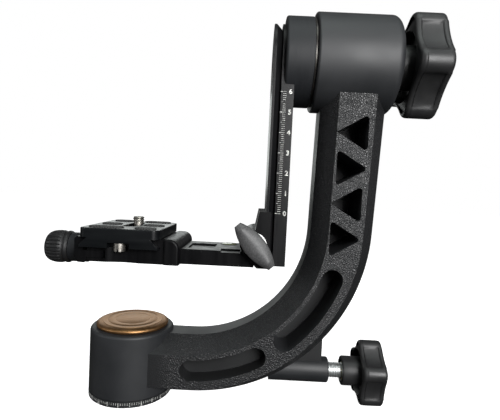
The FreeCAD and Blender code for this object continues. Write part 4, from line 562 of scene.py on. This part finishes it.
# the pockets' satin is painted much darker than the arm's satin: painted shade inside the recesses
pocket_painted_shade = satin_lacquer("pocket_painted_shade", (0.003, 0.0033, 0.0038), (0.005, 0.0055, 0.006), 0.60)
arm = softened("arm", 0.5, None, "arm", angle=24.0)
ARM_FINISHES = [arm_satin, leather_coat, pocket_painted_shade]
for finish in ARM_FINISHES:
    arm.data.materials.append(finish)
for face in arm.data.polygons:
    centre = face.center
    sideways = abs(face.normal.y)
    on_pan_housing = math.hypot(centre.x, centre.y) < PAN_HOUSING + COAT_BUILD
    from_tilt_axis = math.hypot(centre.y, centre.z - TILT_HEIGHT)
    on_tilt_housing = from_tilt_axis < TILT_HOUSING + COAT_BUILD and centre.z > TILT_HOUSING_FOOT
    on_boss = math.hypot(centre.y, centre.z - LOCK_HEIGHT) < LOCK_BOSS and centre.x > LOCK_BOSS_START
    if on_pan_housing or on_tilt_housing or on_boss:
        continue
    # pocket floors and walls take the darker satin, which is painted shade
    pocket_floor = sideways > 0.9 and abs(centre.y) < FRONT - POCKET_SILL
    pocket_wall = sideways < 0.3 and abs(centre.y) > POCKET_WALL
    if pocket_floor or pocket_wall:
        face.material_index = ARM_FINISHES.index(pocket_painted_shade)
    elif sideways > 0.3:
        face.material_index = ARM_FINISHES.index(leather_coat)

# ------------------------------------------------------------------------------------- pan cap
# The cap over the pan bearings is turned aluminium with a gold anodised finish. A groove sets off
# its rolled shoulder, two finer rings are turned in its face, and its middle is bare.

gold = grained("gold_anodised", (0.28, 0.150, 0.062), (0.37, 0.205, 0.092), 1.0, 0.45, 500.0,
               rough=(0.40, 0.50))
tree = gold.node_tree
spot = tree.nodes.new("ShaderNodeTexCoord")
parts = tree.nodes.new("ShaderNodeSeparateXYZ")
tree.links.new(spot.outputs["Object"], parts.inputs[0])
flat_place = tree.nodes.new("ShaderNodeCombineXYZ")
tree.links.new(parts.outputs["X"], flat_place.inputs["X"])
tree.links.new(parts.outputs["Y"], flat_place.inputs["Y"])
tool_rings = tree.nodes.new("ShaderNodeTexWave")
tool_rings.wave_type = "RINGS"
tool_rings.rings_direction = "Z"
tool_rings.inputs["Scale"].default_value = 620.0
tool_rings.inputs["Distortion"].default_value = 0.3
tree.links.new(flat_place.outputs[0], tool_rings.inputs["Vector"])
emboss(tree, tree.nodes["Principled BSDF"], tool_rings.outputs["Fac"], 0.10, 0.00004)


def welded(mesh, distance):
    """Merge points nearer than a distance and turn every face outwards."""
    work = bmesh.new()
    work.from_mesh(mesh)
    bmesh.ops.remove_doubles(work, verts=work.verts, dist=distance)
    bmesh.ops.recalc_face_normals(work, faces=work.faces)
    work.to_mesh(mesh)
    work.free()


def ring_skin(name, rows, closed_start=True, closed_end=True):
    """A skin through rings of points; an end ring is closed by a fan to its middle."""
    mesh = bpy.data.meshes.new(name)
    count = len(rows[0])
    points = [point for row in rows for point in row]
    faces = []
    for level in range(len(rows) - 1):
        for step in range(count):
            after = (step + 1) % count
            low = level * count
            faces.append((low + step, low + after, low + count + after, low + count + step))
    for wanted, row in ((closed_start, 0), (closed_end, len(rows) - 1)):
        if wanted:
            points.append(sum(rows[row], Vector()) / count)
            hub = len(points) - 1
            for step in range(count):
                faces.append((row * count + step, row * count + (step + 1) % count, hub))
    mesh.from_pydata([tuple(point) for point in points], [], faces)
    welded(mesh, 1e-7)
    piece = bpy.data.objects.new(name, mesh)
    bpy.context.scene.collection.objects.link(piece)
    return piece


def lathe_rows(profile, place, segments):
    """Rings of a turned shape from (radius, height) pairs; place maps radius, angle, height."""
    rows = []
    for radius, height in profile:
        rows.append([place(radius, math.tau * step / segments, height) for step in range(segments)])
    return rows


def about_z(radius, angle, height):
    """A point round the pan axis, given in millimetres."""
    return Vector((radius * math.cos(angle), radius * math.sin(angle), height)) * MM


CAP_PROFILE = [(0.01, 33.2), (15.0, 33.2), (15.0, 35.9), (17.6, 35.9), (18.3, 36.15), (18.75, 36.6),
               (18.9, 37.2), (18.75, 37.7), (18.2, 38.15), (17.4, 38.5), (16.6, 38.72), (16.15, 38.82),
               (16.0, 38.72), (15.8, 38.72), (15.65, 38.87), (13.35, 38.9), (13.2, 38.78), (13.0, 38.78),
               (12.85, 38.9), (9.3, 38.9), (9.2, 38.86), (9.0, 38.86), (8.9, 38.9), (0.01, 38.9)]
cap = ring_skin("pan_cap_turned", lathe_rows(CAP_PROFILE, about_z, 128))
smooth_by_angle(cap, 40)
finished(cap, gold, "arm", "pan_cap")

# ------------------------------------------------------------------------------------- pan lock rod
# The pan lock rod is a zinc-plated M8 stud. Its rolled thread shows between the boss and the knob.

M8_RADIUS = 4.0
M8_PITCH = 1.25
THREAD_DEPTH = 0.24
THREAD_START = 100.0
THREAD_RINGS = 8
SHANK = 3.95
ROD_SEGMENTS = 28


def threaded_rows(radius, start, end, pitch, depth, place, segments):
    """Rings of a rod whose surface rises and falls along a helix."""
    rows = []
    count = int(round((end - start) / pitch * THREAD_RINGS))
    for level in range(count + 1):
        along = start + (end - start) * level / count
        row = []
        for step in range(segments):
            phase = (along / pitch - step / segments) % 1.0
            crest = abs(2 * phase - 1)
            row.append(place(radius - depth * min(1.0, 1.35 * crest), math.tau * step / segments, along))
        rows.append(row)
    return rows


def about_lock(radius, angle, along):
    """A point round the pan lock's axis."""
    around = Vector((along, radius * math.cos(angle), radius * math.sin(angle))) * MM
    return around + Vector((0, 0, LOCK_HEIGHT))


rod_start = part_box("pan_lock_rod")[0].x / MM
rod_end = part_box("pan_lock_rod")[1].x / MM
shank = lathe_rows([(SHANK - 0.35, rod_start), (SHANK, rod_start + 0.4), (SHANK, THREAD_START - 0.5)],
                   about_lock, ROD_SEGMENTS)
thread = threaded_rows(M8_RADIUS, THREAD_START, rod_end, M8_PITCH, THREAD_DEPTH, about_lock, ROD_SEGMENTS)
turned_rod = ring_skin("pan_lock_rod_threaded", shank + thread)
smooth_by_angle(turned_rod, 50)
finished(turned_rod, bright_zinc, "pan_lock", "pan_lock_rod")

# ------------------------------------------------------------------------------------- star knobs
# The two lock knobs are moulded in black plastic: five lobes with a shallow step where each lobe's
# grip pad meets the hollow beside it, a hollow back, and a round hub over the metal insert.


def plastic(name, dark, light, shine=0.5):
    """Moulded plastic: cloudy satin with the fine spark-eroded texture of its mould."""
    material, tree, shader = new_finish(name, dark, 0.0, 0.46, shine)
    cloud = object_noise(tree, 90.0, 3.0)
    tint(tree, shader, spread(tree, cloud.outputs["Fac"], 0.0, 1.0), dark, light)
    tree.links.new(spread(tree, cloud.outputs["Fac"], 0.42, 0.54), shader.inputs["Roughness"])
    spark = object_noise(tree, 2600.0, 2.0)
    emboss(tree, shader, spark.outputs["Fac"], 0.22, 0.00010)
    return material


moulded = plastic("moulded_plastic", (0.010, 0.010, 0.0105), (0.016, 0.016, 0.0165))
LOBES = 5
HALF_LOBE = math.pi / LOBES


def lobe_contact(sizes):
    """The angle from a lobe's middle at which its round tip runs into the round hollow."""
    reach = sizes["tip"] - sizes["lobe"]
    across = sizes["distance"] * math.sin(HALF_LOBE)
    along = sizes["distance"] * math.cos(HALF_LOBE) - reach
    far = math.hypot(across, along)
    return math.atan2(sizes["lobe"] * across / far, reach + sizes["lobe"] * along / far)


def knob_reach(angle, sizes, flare):
    """Distance from the axis to the knob's edge, and how far into a hollow it is (0 or 1)."""
    from_lobe = abs((angle + HALF_LOBE) % (2 * HALF_LOBE) - HALF_LOBE)
    contact = lobe_contact(sizes)
    middle = sizes["tip"] - sizes["lobe"]
    if from_lobe <= contact:
        half_chord = math.sqrt(sizes["lobe"] ** 2 - (middle * math.sin(from_lobe)) ** 2)
        return middle * math.cos(from_lobe) + half_chord, 0.0
    from_hollow = HALF_LOBE - from_lobe
    across = sizes["distance"] * math.sin(from_hollow)
    hollow = sizes["distance"] * math.cos(from_hollow) - math.sqrt(sizes["cutter"] ** 2 - across ** 2)
    edge = sizes["tip"] * math.cos(contact * 0.8)
    chord = edge * math.cos(HALF_LOBE - contact) / math.cos(from_hollow)
    in_hollow = 1.0 if from_lobe > contact + 0.004 else 0.0
    return hollow + flare * max(0.0, chord - hollow), in_hollow


def knob_angles(sizes):
    """Sample angles: the step at each lobe's edge falls between two close samples."""
    contact = math.degrees(lobe_contact(sizes))
    period = 360.0 / LOBES
    beyond = contact + 0.7
    gap = period - 2 * beyond
    offsets = [contact * part / 5 for part in range(-5, 6)] + [beyond]
    offsets += [beyond + gap * part / 14 for part in range(1, 15)]
    return [math.radians(period * lobe + offset) for lobe in range(LOBES) for offset in offsets]


def star_knob(name, sizes):
    """Rings of a lobed knob from the bore in its hub, over its back and edge, to its face."""
    angles = knob_angles(sizes)
    phase = math.radians(sizes["phase"])
    centre = Vector((0, 0, sizes["height"] * MM))

    def ring(along, shrink, step_depth=0.0, share=None, radius=None, flare=0.0):
        """One ring round the axis: the knob's outline, or a circle where a radius is given."""
        row = []
        for angle in angles:
            edge, in_hollow = knob_reach(angle, sizes, flare)
            reach = edge - in_hollow * step_depth - shrink
            if share is not None:
                reach = reach * share
            if radius is not None:
                reach = radius
            # lobes are counted from the front (-Y) towards the top (+Z)
            turn = phase + angle
            row.append(Vector((along, -reach * math.cos(turn), reach * math.sin(turn))) * MM + centre)
        return row

    start = sizes["start"]
    end = sizes["end"]
    hub_start = sizes["hub_start"]
    bore = sizes["insert"]
    hub = sizes["hub"]
    rim = sizes["rim_inner"]
    recess = start + sizes["recess"]
    round_off = sizes["round"]
    back_step = start + round_off + sizes["ledge"]
    face_step = end - round_off - sizes["ledge"]
    # the bore, the hub's mouth and outside, the recess behind the lobes, and the rim's inner edge
    rows = [ring(along, 0, radius=radius) for along, radius in (
        (start + sizes["bore"], bore), (hub_start + 0.4, bore), (hub_start, bore + 0.4),
        (hub_start, hub - 0.7), (hub_start + 0.25, hub - 0.2), (hub_start + 0.8, hub), (recess, hub),
        (recess, rim - 0.4), (start + 0.4, rim), (start, rim + 0.4))]
    for part in range(6):
        quarter = math.radians(90 * part / 5)
        rows.append(ring(start + round_off * (1 - math.sin(quarter)), round_off * (1 - math.cos(quarter))))
    # the lobes' sides, stepped down in the hollows
    rows.append(ring(back_step, 0.0))
    rows.append(ring(back_step + 0.3, 0.0, sizes["step"]))
    rows.append(ring(face_step - 2.2, 0.0, sizes["step"]))
    rows.append(ring(face_step - 0.3, 0.0, sizes["step"], flare=0.12))
    rows.append(ring(face_step, 0.0, flare=0.16))
    for part in range(6):
        quarter = math.radians(90 * part / 5)
        along = end - round_off + round_off * math.sin(quarter)
        rows.append(ring(along, round_off * (1 - math.cos(quarter)), flare=0.25 + 0.25 * math.sin(quarter)))
    # the face and its round dish
    for share in (0.82, 0.70):
        rows.append(ring(end, round_off, share=share, flare=0.5))
    for radius, dish in ((0.52, 0.05), (0.49, 0.5), (0.30, 0.55), (0.28, 0.30), (0.12, 0.10), (0.02, 0.0)):
        rows.append(ring(end - dish, 0, radius=sizes["tip"] * radius))
    piece = ring_skin(name, rows)
    smooth_by_angle(piece, 38)
    return piece


# start, end, hub_start and height are places; bore and recess are depths from the back; ledge is the
# plain strip beside each rounded edge, and step the hollows' drop beyond it; lobe is a lobe's radius,
# cutter and distance are a hollow's radius and its middle's distance; phase is in degrees
PAN_KNOB = {"start": 123.0, "end": 135.2, "hub_start": 114.3, "hub": 7.65, "insert": 5.2, "bore": 3.0,
            "tip": 17.2, "lobe": 4.2, "distance": 29.0, "cutter": 15.8, "phase": 18.0,
            "height": 16.0, "round": 1.7, "recess": 3.0, "rim_inner": 11.5, "step": 0.35, "ledge": 0.5}
TILT_KNOB = {"start": 137.6, "end": 153.8, "hub_start": 134.3, "hub": 11.5, "insert": 5.2, "bore": 8.0,
             "tip": 27.0, "lobe": 6.5, "distance": 47.2, "cutter": 26.4, "phase": -7.5,
             "height": 179.7, "round": 2.2, "recess": 6.0, "rim_inner": 18.1, "step": 0.5, "ledge": 0.6}
for body, sizes in (("pan_lock", PAN_KNOB), ("tilt_lock", TILT_KNOB)):
    knob = body + "_knob"
    finished(star_knob(knob + "_moulded", sizes), moulded, body, knob)
softened("pan_lock_insert", 0.2, yellow_insert, "pan_lock")

# ------------------------------------------------------------------------------------- tilt drum
# The drum that carries the rail and the end cover are turned aluminium, black anodised. Turning
# leaves very fine rings about the tilt axis.


def anodised(name, dark, light, roughness, line_scale, stretch, shine):
    """Black anodised aluminium with fine machining lines along one way."""
    material, tree, shader = new_finish(name, dark, 0.0, roughness, shine)
    lines = object_noise(tree, line_scale, 4.0, stretch)
    tint(tree, shader, spread(tree, lines.outputs["Fac"], 0.0, 1.0), dark, light)
    tree.links.new(spread(tree, lines.outputs["Fac"], roughness - 0.06, roughness + 0.08),
                   shader.inputs["Roughness"])
    grit = object_noise(tree, 4200.0, 2.0)
    emboss(tree, shader, grit.outputs["Fac"], 0.12, 0.00006)
    return material


ABOUT_TILT = (4, 0.15, 0.15)
turned_black = anodised("turned_black", (0.009, 0.010, 0.0115), (0.014, 0.015, 0.017), 0.56, 500.0,
                        ABOUT_TILT, 0.28)
softened("tilt_drum", 0.35, turned_black, "tilt")
softened("tilt_end_cover", 0.3, turned_black, "arm")

# ------------------------------------------------------------------------------------- rail
# The rail is an extruded and milled bar, black anodised. Its front edge has the engraved and
# white-filled height scale in centimetres and millimetres.

UPRIGHT_LINES = (1, 1, 0.08)
milled_black = anodised("milled_black", (0.005, 0.005, 0.0055), (0.009, 0.009, 0.0095), 0.34, 300.0,
                        UPRIGHT_LINES, 0.16)
softened("rail", 0.22, milled_black, "tilt")
softened("rail_screws", 0.15, black_oxide, "tilt")
SCALE_FACE = -16.8 * MM
SCALE_ZERO = 100.7
SCALE_RIGHT = 76.0
FIGURE_PLACE = 78.05
FIGURE_HEIGHT = 3.3
FIGURE_WEIGHT = 0.09
line_marks = marks_tree("line_marks", False)
for label, count, step, first, length, thick in (("scale_millimetres", 61, 1.0, 0.0, 1.6, 0.16),
                                                 ("scale_half_centimetres", 6, 10.0, 5.0, 2.2, 0.20),
                                                 ("scale_centimetres", 7, 10.0, 0.0, 2.75, 0.28)):
    start = ((SCALE_RIGHT - length / 2) * MM, SCALE_FACE, (SCALE_ZERO + first) * MM)
    ticks = grown(label, line_marks, Count=count, Step=(0, 0, step * MM), Start=start,
                  Bar=(length * MM, 2 * MARK_PROUD, thick * MM), Paint=mark_white)
    finished(ticks, None, "tilt", None)
figures = []
upright = Matrix(((1, 0, 0), (0, 0, -1), (0, 1, 0))).to_4x4()
for centimetre in range(7):
    seat = Vector((FIGURE_PLACE * MM, SCALE_FACE, (SCALE_ZERO + 10 * centimetre) * MM))
    figures.append(number_piece("figure_%d" % centimetre, str(centimetre), FIGURE_HEIGHT * MM,
                                Matrix.Translation(seat) @ upright, FIGURE_WEIGHT * MM))
finished(joined("scale_figures", figures), None, "tilt", None)

# ------------------------------------------------------------------------------------- platform
# The platform is one milled piece with the clamp bed and fixed jaw at one end and the upright that
# hooks on the rail at the other. The rail's jaw and the plate's loose jaw are finished with it.

bed_black = anodised("bed_black", (0.002, 0.002, 0.0023), (0.0045, 0.0045, 0.005), 0.36, 300.0,
                     UPRIGHT_LINES, 0.11)
for milled in ("platform", "rail_jaw", "clamp_jaw"):
    softened(milled, 0.28, bed_black, milled)

# ------------------------------------------------------------------------------------- level
# A round bubble level is let into the bar: a black case and a yellow-green filled vial.

level_fluid = grained("level_fluid", (0.10, 0.115, 0.012), (0.19, 0.205, 0.03), 0.0, 0.16, 300.0, 2.0)
shader = level_fluid.node_tree.nodes["Principled BSDF"]
shader.inputs["Coat Weight"].default_value = 0.2
shader.inputs["Coat Roughness"].default_value = 0.12
level_middle = (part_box("level_vial")[0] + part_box("level_vial")[1]) / 2
level_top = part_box("level_vial")[1].z / MM
VIAL = 4.15
VIAL_FOOT = 79.0
TARGET = 1.7


def about_level(radius, angle, height):
    """A point round the level's middle."""
    return Vector((level_middle.x, level_middle.y, 0)) + about_z(radius, angle, height)


vial = ring_skin("level_vial_domed", lathe_rows(
    [(0.01, VIAL_FOOT), (VIAL, VIAL_FOOT), (VIAL, level_top - 0.4), (VIAL - 0.25, level_top - 0.2),
     (3.0, level_top - 0.08), (1.6, level_top - 0.02), (0.01, level_top)], about_level, 48))
smooth_by_angle(vial, 50)
finished(vial, level_fluid, "platform", "level_vial")
softened("level_case", 0.12, moulded, "platform")
bubble_ring = ring_skin("level_target", lathe_rows(
    [(TARGET - 0.15, level_top - 0.02), (TARGET - 0.08, level_top + 0.02), (TARGET + 0.08, level_top + 0.02),
     (TARGET + 0.15, level_top - 0.06)], about_level, 40), closed_start=False, closed_end=False)
finished(bubble_ring, black_oxide, "platform", None)

# ------------------------------------------------------------------------------------- paddle
# The rail lock is a moulded wing: an almond-shaped blade, crowned on its front, with its two tips
# cut back. A white nylon washer turns under it.

WING_HALF = 13.1
WING_WIDE = 5.35
WING_TIP = 1.75
WING_BACK = -24.6
WING_EDGE = WING_BACK - 2.55
WING_FRONT = -29.2
WING_TURN = 48.5
WING_HUB = 4.6
WING_BORE = 3.05
wing_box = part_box("paddle_knob")
wing_middle = Vector(((wing_box[0].x + wing_box[1].x) / 2, 0, (wing_box[0].z + wing_box[1].z) / 2))


def wing_point(along, across, height):
    """A point of the wing from its long axis, short axis and depth, in millimetres."""
    turn = math.radians(WING_TURN)
    x = along * math.cos(turn) + across * math.sin(turn)
    z = -along * math.sin(turn) + across * math.cos(turn)
    return wing_middle + Vector((x, height, z)) * MM


def wing_half_width(along):
    """Half the blade's width at a place along it."""
    rise = WING_WIDE - WING_TIP
    radius = (WING_HALF ** 2 + rise ** 2) / (2 * rise)
    return math.sqrt(radius ** 2 - along ** 2) - radius + WING_WIDE


def wing_outline(count):
    """Places round the blade's edge, evenly spread, with both cut tips."""
    side = [-WING_HALF + 2 * WING_HALF * step / count for step in range(count + 1)]
    upper = [(along, wing_half_width(along)) for along in side]
    lower = [(along, -wing_half_width(along)) for along in reversed(side)]
    return upper + lower


edge = wing_outline(40)
wing_rows = []
for share, depth in ((0.30, WING_BACK), (0.93, WING_BACK), (0.985, WING_BACK - 0.25),
                     (1.0, WING_BACK - 0.8), (1.0, WING_EDGE + 0.65), (0.985, WING_EDGE + 0.3),
                     (0.95, WING_EDGE)):
    wing_rows.append([wing_point(along * (1 - (1 - share) * 0.4), across * share, depth)
                      for along, across in edge])
for share in (0.86, 0.72, 0.55, 0.36, 0.16, 0.0):
    row = []
    for along, across in edge:
        crown = (WING_FRONT - WING_EDGE) * (1 - share ** 2 / 0.95 ** 2)
        facet = max(0.0, abs(along) / WING_HALF - 0.80) / 0.20
        depth = WING_EDGE + crown * (1 - 0.75 * facet)
        row.append(wing_point(along * 0.98, across * share, depth))
    wing_rows.append(row)
blade = ring_skin("paddle_blade", wing_rows, closed_start=True, closed_end=False)
welded(blade.data, 1e-5)
smooth_by_angle(blade, 38)


def about_paddle(radius, angle, along):
    """A point round the paddle screw's axis."""
    return wing_middle + Vector((radius * math.cos(angle), along, radius * math.sin(angle))) * MM


hub = ring_skin("paddle_hub", lathe_rows(
    [(WING_BORE, -22.35), (WING_HUB - 0.4, -22.35), (WING_HUB, -22.7), (WING_HUB, -24.9), (WING_BORE, -24.9)],
    about_paddle, 48), closed_start=False, closed_end=False)
smooth_by_angle(hub, 35)
wing_plastic = grained("wing_plastic", (0.040, 0.040, 0.041), (0.085, 0.085, 0.086), 0.0, 0.52, 1500.0,
                       bump=(0.45, 0.00016))
finished(blade, wing_plastic, "paddle", "paddle_knob")
finished(hub, wing_plastic, "paddle", None)
softened("paddle_washer", 0.2, nylon, "paddle")

# ------------------------------------------------------------------------------------- clamp knob
# The clamp knob is a barrel of moulded plastic with long ribs, a thin rim ring at its inner end,
# and a turned collar between it and the sliding jaw.

# places along the knob's axis and its radius there: rounded end, full middle, groove and rim ring
BARREL = [(-47.1, 5.2), (-46.9, 6.0), (-46.5, 6.8), (-45.9, 7.4), (-45.0, 7.95), (-43.7, 8.4), (-42.2, 8.65),
          (-40.8, 8.75), (-39.0, 8.7), (-38.0, 8.4), (-37.2, 8.0), (-36.9, 7.6), (-36.6, 8.2), (-36.2, 8.6),
          (-35.4, 8.6), (-34.9, 8.3), (-34.3, 7.9)]
KNOB_LEVEL = 76.5
BARREL_RINGS = 60
RIBS = 26
RIB_SAMPLES = RIBS * 10
RIB_DEPTH = 0.42
RIBS_START = -46.3
RIBS_END = -37.6


def barrel_radius(along):
    """The knob's radius at a place along its axis."""
    for (left, low), (right, high) in zip(BARREL, BARREL[1:]):
        if along <= right:
            return low + (high - low) * (along - left) / (right - left)
    return BARREL[-1][1]


knob_left = BARREL[0][0]
knob_long = BARREL[-1][0] - knob_left
barrel_rows = []
for level in range(BARREL_RINGS + 1):
    along = knob_left + knob_long * level / BARREL_RINGS
    reach = barrel_radius(along)
    strength = RIB_DEPTH * max(0.0, min(1.0, (along - RIBS_START) / 1.4, (RIBS_END - along) / 0.7))
    row = []
    for step in range(RIB_SAMPLES):
        angle = math.tau * step / RIB_SAMPLES
        radius = reach - strength * max(0.0, math.cos(angle * RIBS)) ** 3
        row.append(Vector((along, radius * math.cos(angle), radius * math.sin(angle) + KNOB_LEVEL)) * MM)
    barrel_rows.append(row)
barrel = ring_skin("clamp_knob_ribbed", barrel_rows)
smooth_by_angle(barrel, 40)
clamp_plastic = plastic("clamp_plastic", (0.006, 0.006, 0.0065), (0.010, 0.010, 0.0105), 0.36)
finished(barrel, clamp_plastic, "clamp_knob", "clamp_knob")
softened("clamp_collar", 0.25, turned_black, "clamp_knob")

# ------------------------------------------------------------------------------------- camera plate
# The quick-release plate is milled and black anodised, a little glossier than the bed under it.
# Rubber pads are let into it. Its slotted stop screws and camera screw are nickel-plated steel.

CROSS_LINES = (0.1, 1, 1)
plate_black = anodised("plate_black", (0.0025, 0.003, 0.0036), (0.005, 0.0058, 0.0065), 0.34, 260.0,
                       CROSS_LINES, 0.24)
softened("camera_plate", 0.3, plate_black, "plate")
nickel = grained("nickel", (0.28, 0.265, 0.24), (0.44, 0.42, 0.385), 1.0, 0.42, 1300.0, rough=(0.36, 0.50))
softened("stop_screws", 0.2, nickel, "plate")

pad_rubber, tree, shader = new_finish("pad_rubber", (0.022, 0.022, 0.022), 0.0, 0.78)
spot = tree.nodes.new("ShaderNodeTexCoord")
slant = tree.nodes.new("ShaderNodeMapping")
slant.inputs["Rotation"].default_value = (0, 0, math.radians(45))
weave = tree.nodes.new("ShaderNodeTexWave")
weave.bands_direction = "X"
weave.inputs["Scale"].default_value = 330.0
tree.links.new(spot.outputs["Object"], slant.inputs[0])
tree.links.new(slant.outputs[0], weave.inputs["Vector"])
emboss(tree, shader, weave.outputs["Fac"], 0.6, 0.00022)
tint(tree, shader, weave.outputs["Fac"], (0.010, 0.010, 0.010), (0.034, 0.034, 0.034))
softened("plate_pads", 0.25, pad_rubber, "plate")

SCREW_PLACE = Vector((-1.75, 10.0, 0)) * MM
HEAD = 6.4
HEAD_FOOT = 80.9
HEAD_TOP = 83.8
NECK = 2.6
NECK_TOP = 90.6
INCH = 25.4
SCREW_RADIUS = INCH / 4 / 2
SCREW_PITCH = INCH / 20
SCREW_THREAD_DEPTH = 0.45
SCREW_THREAD_START = 90.7
SCREW_THREAD_END = 93.4
SCREW_TOP = 93.9
SCREW_SEGMENTS = 40


def about_screw(radius, angle, height):
    """A point round the camera screw's axis."""
    return SCREW_PLACE + about_z(radius, angle, height)


screw_rows = lathe_rows([(0.01, HEAD_FOOT), (HEAD - 0.3, HEAD_FOOT), (HEAD, HEAD_FOOT + 0.3),
                         (HEAD, HEAD_TOP - 0.3), (HEAD - 0.3, HEAD_TOP), (NECK, HEAD_TOP),
                         (NECK, NECK_TOP)], about_screw, SCREW_SEGMENTS)
screw_rows += threaded_rows(SCREW_RADIUS, SCREW_THREAD_START, SCREW_THREAD_END, SCREW_PITCH,
                            SCREW_THREAD_DEPTH, about_screw, SCREW_SEGMENTS)
screw_rows += lathe_rows([(2.9, SCREW_TOP - 0.3), (2.5, SCREW_TOP), (0.01, SCREW_TOP)], about_screw,
                         SCREW_SEGMENTS)
screw = ring_skin("camera_screw_threaded", screw_rows)
smooth_by_angle(screw, 50)
finished(screw, nickel, "camera_screw", "camera_screw")
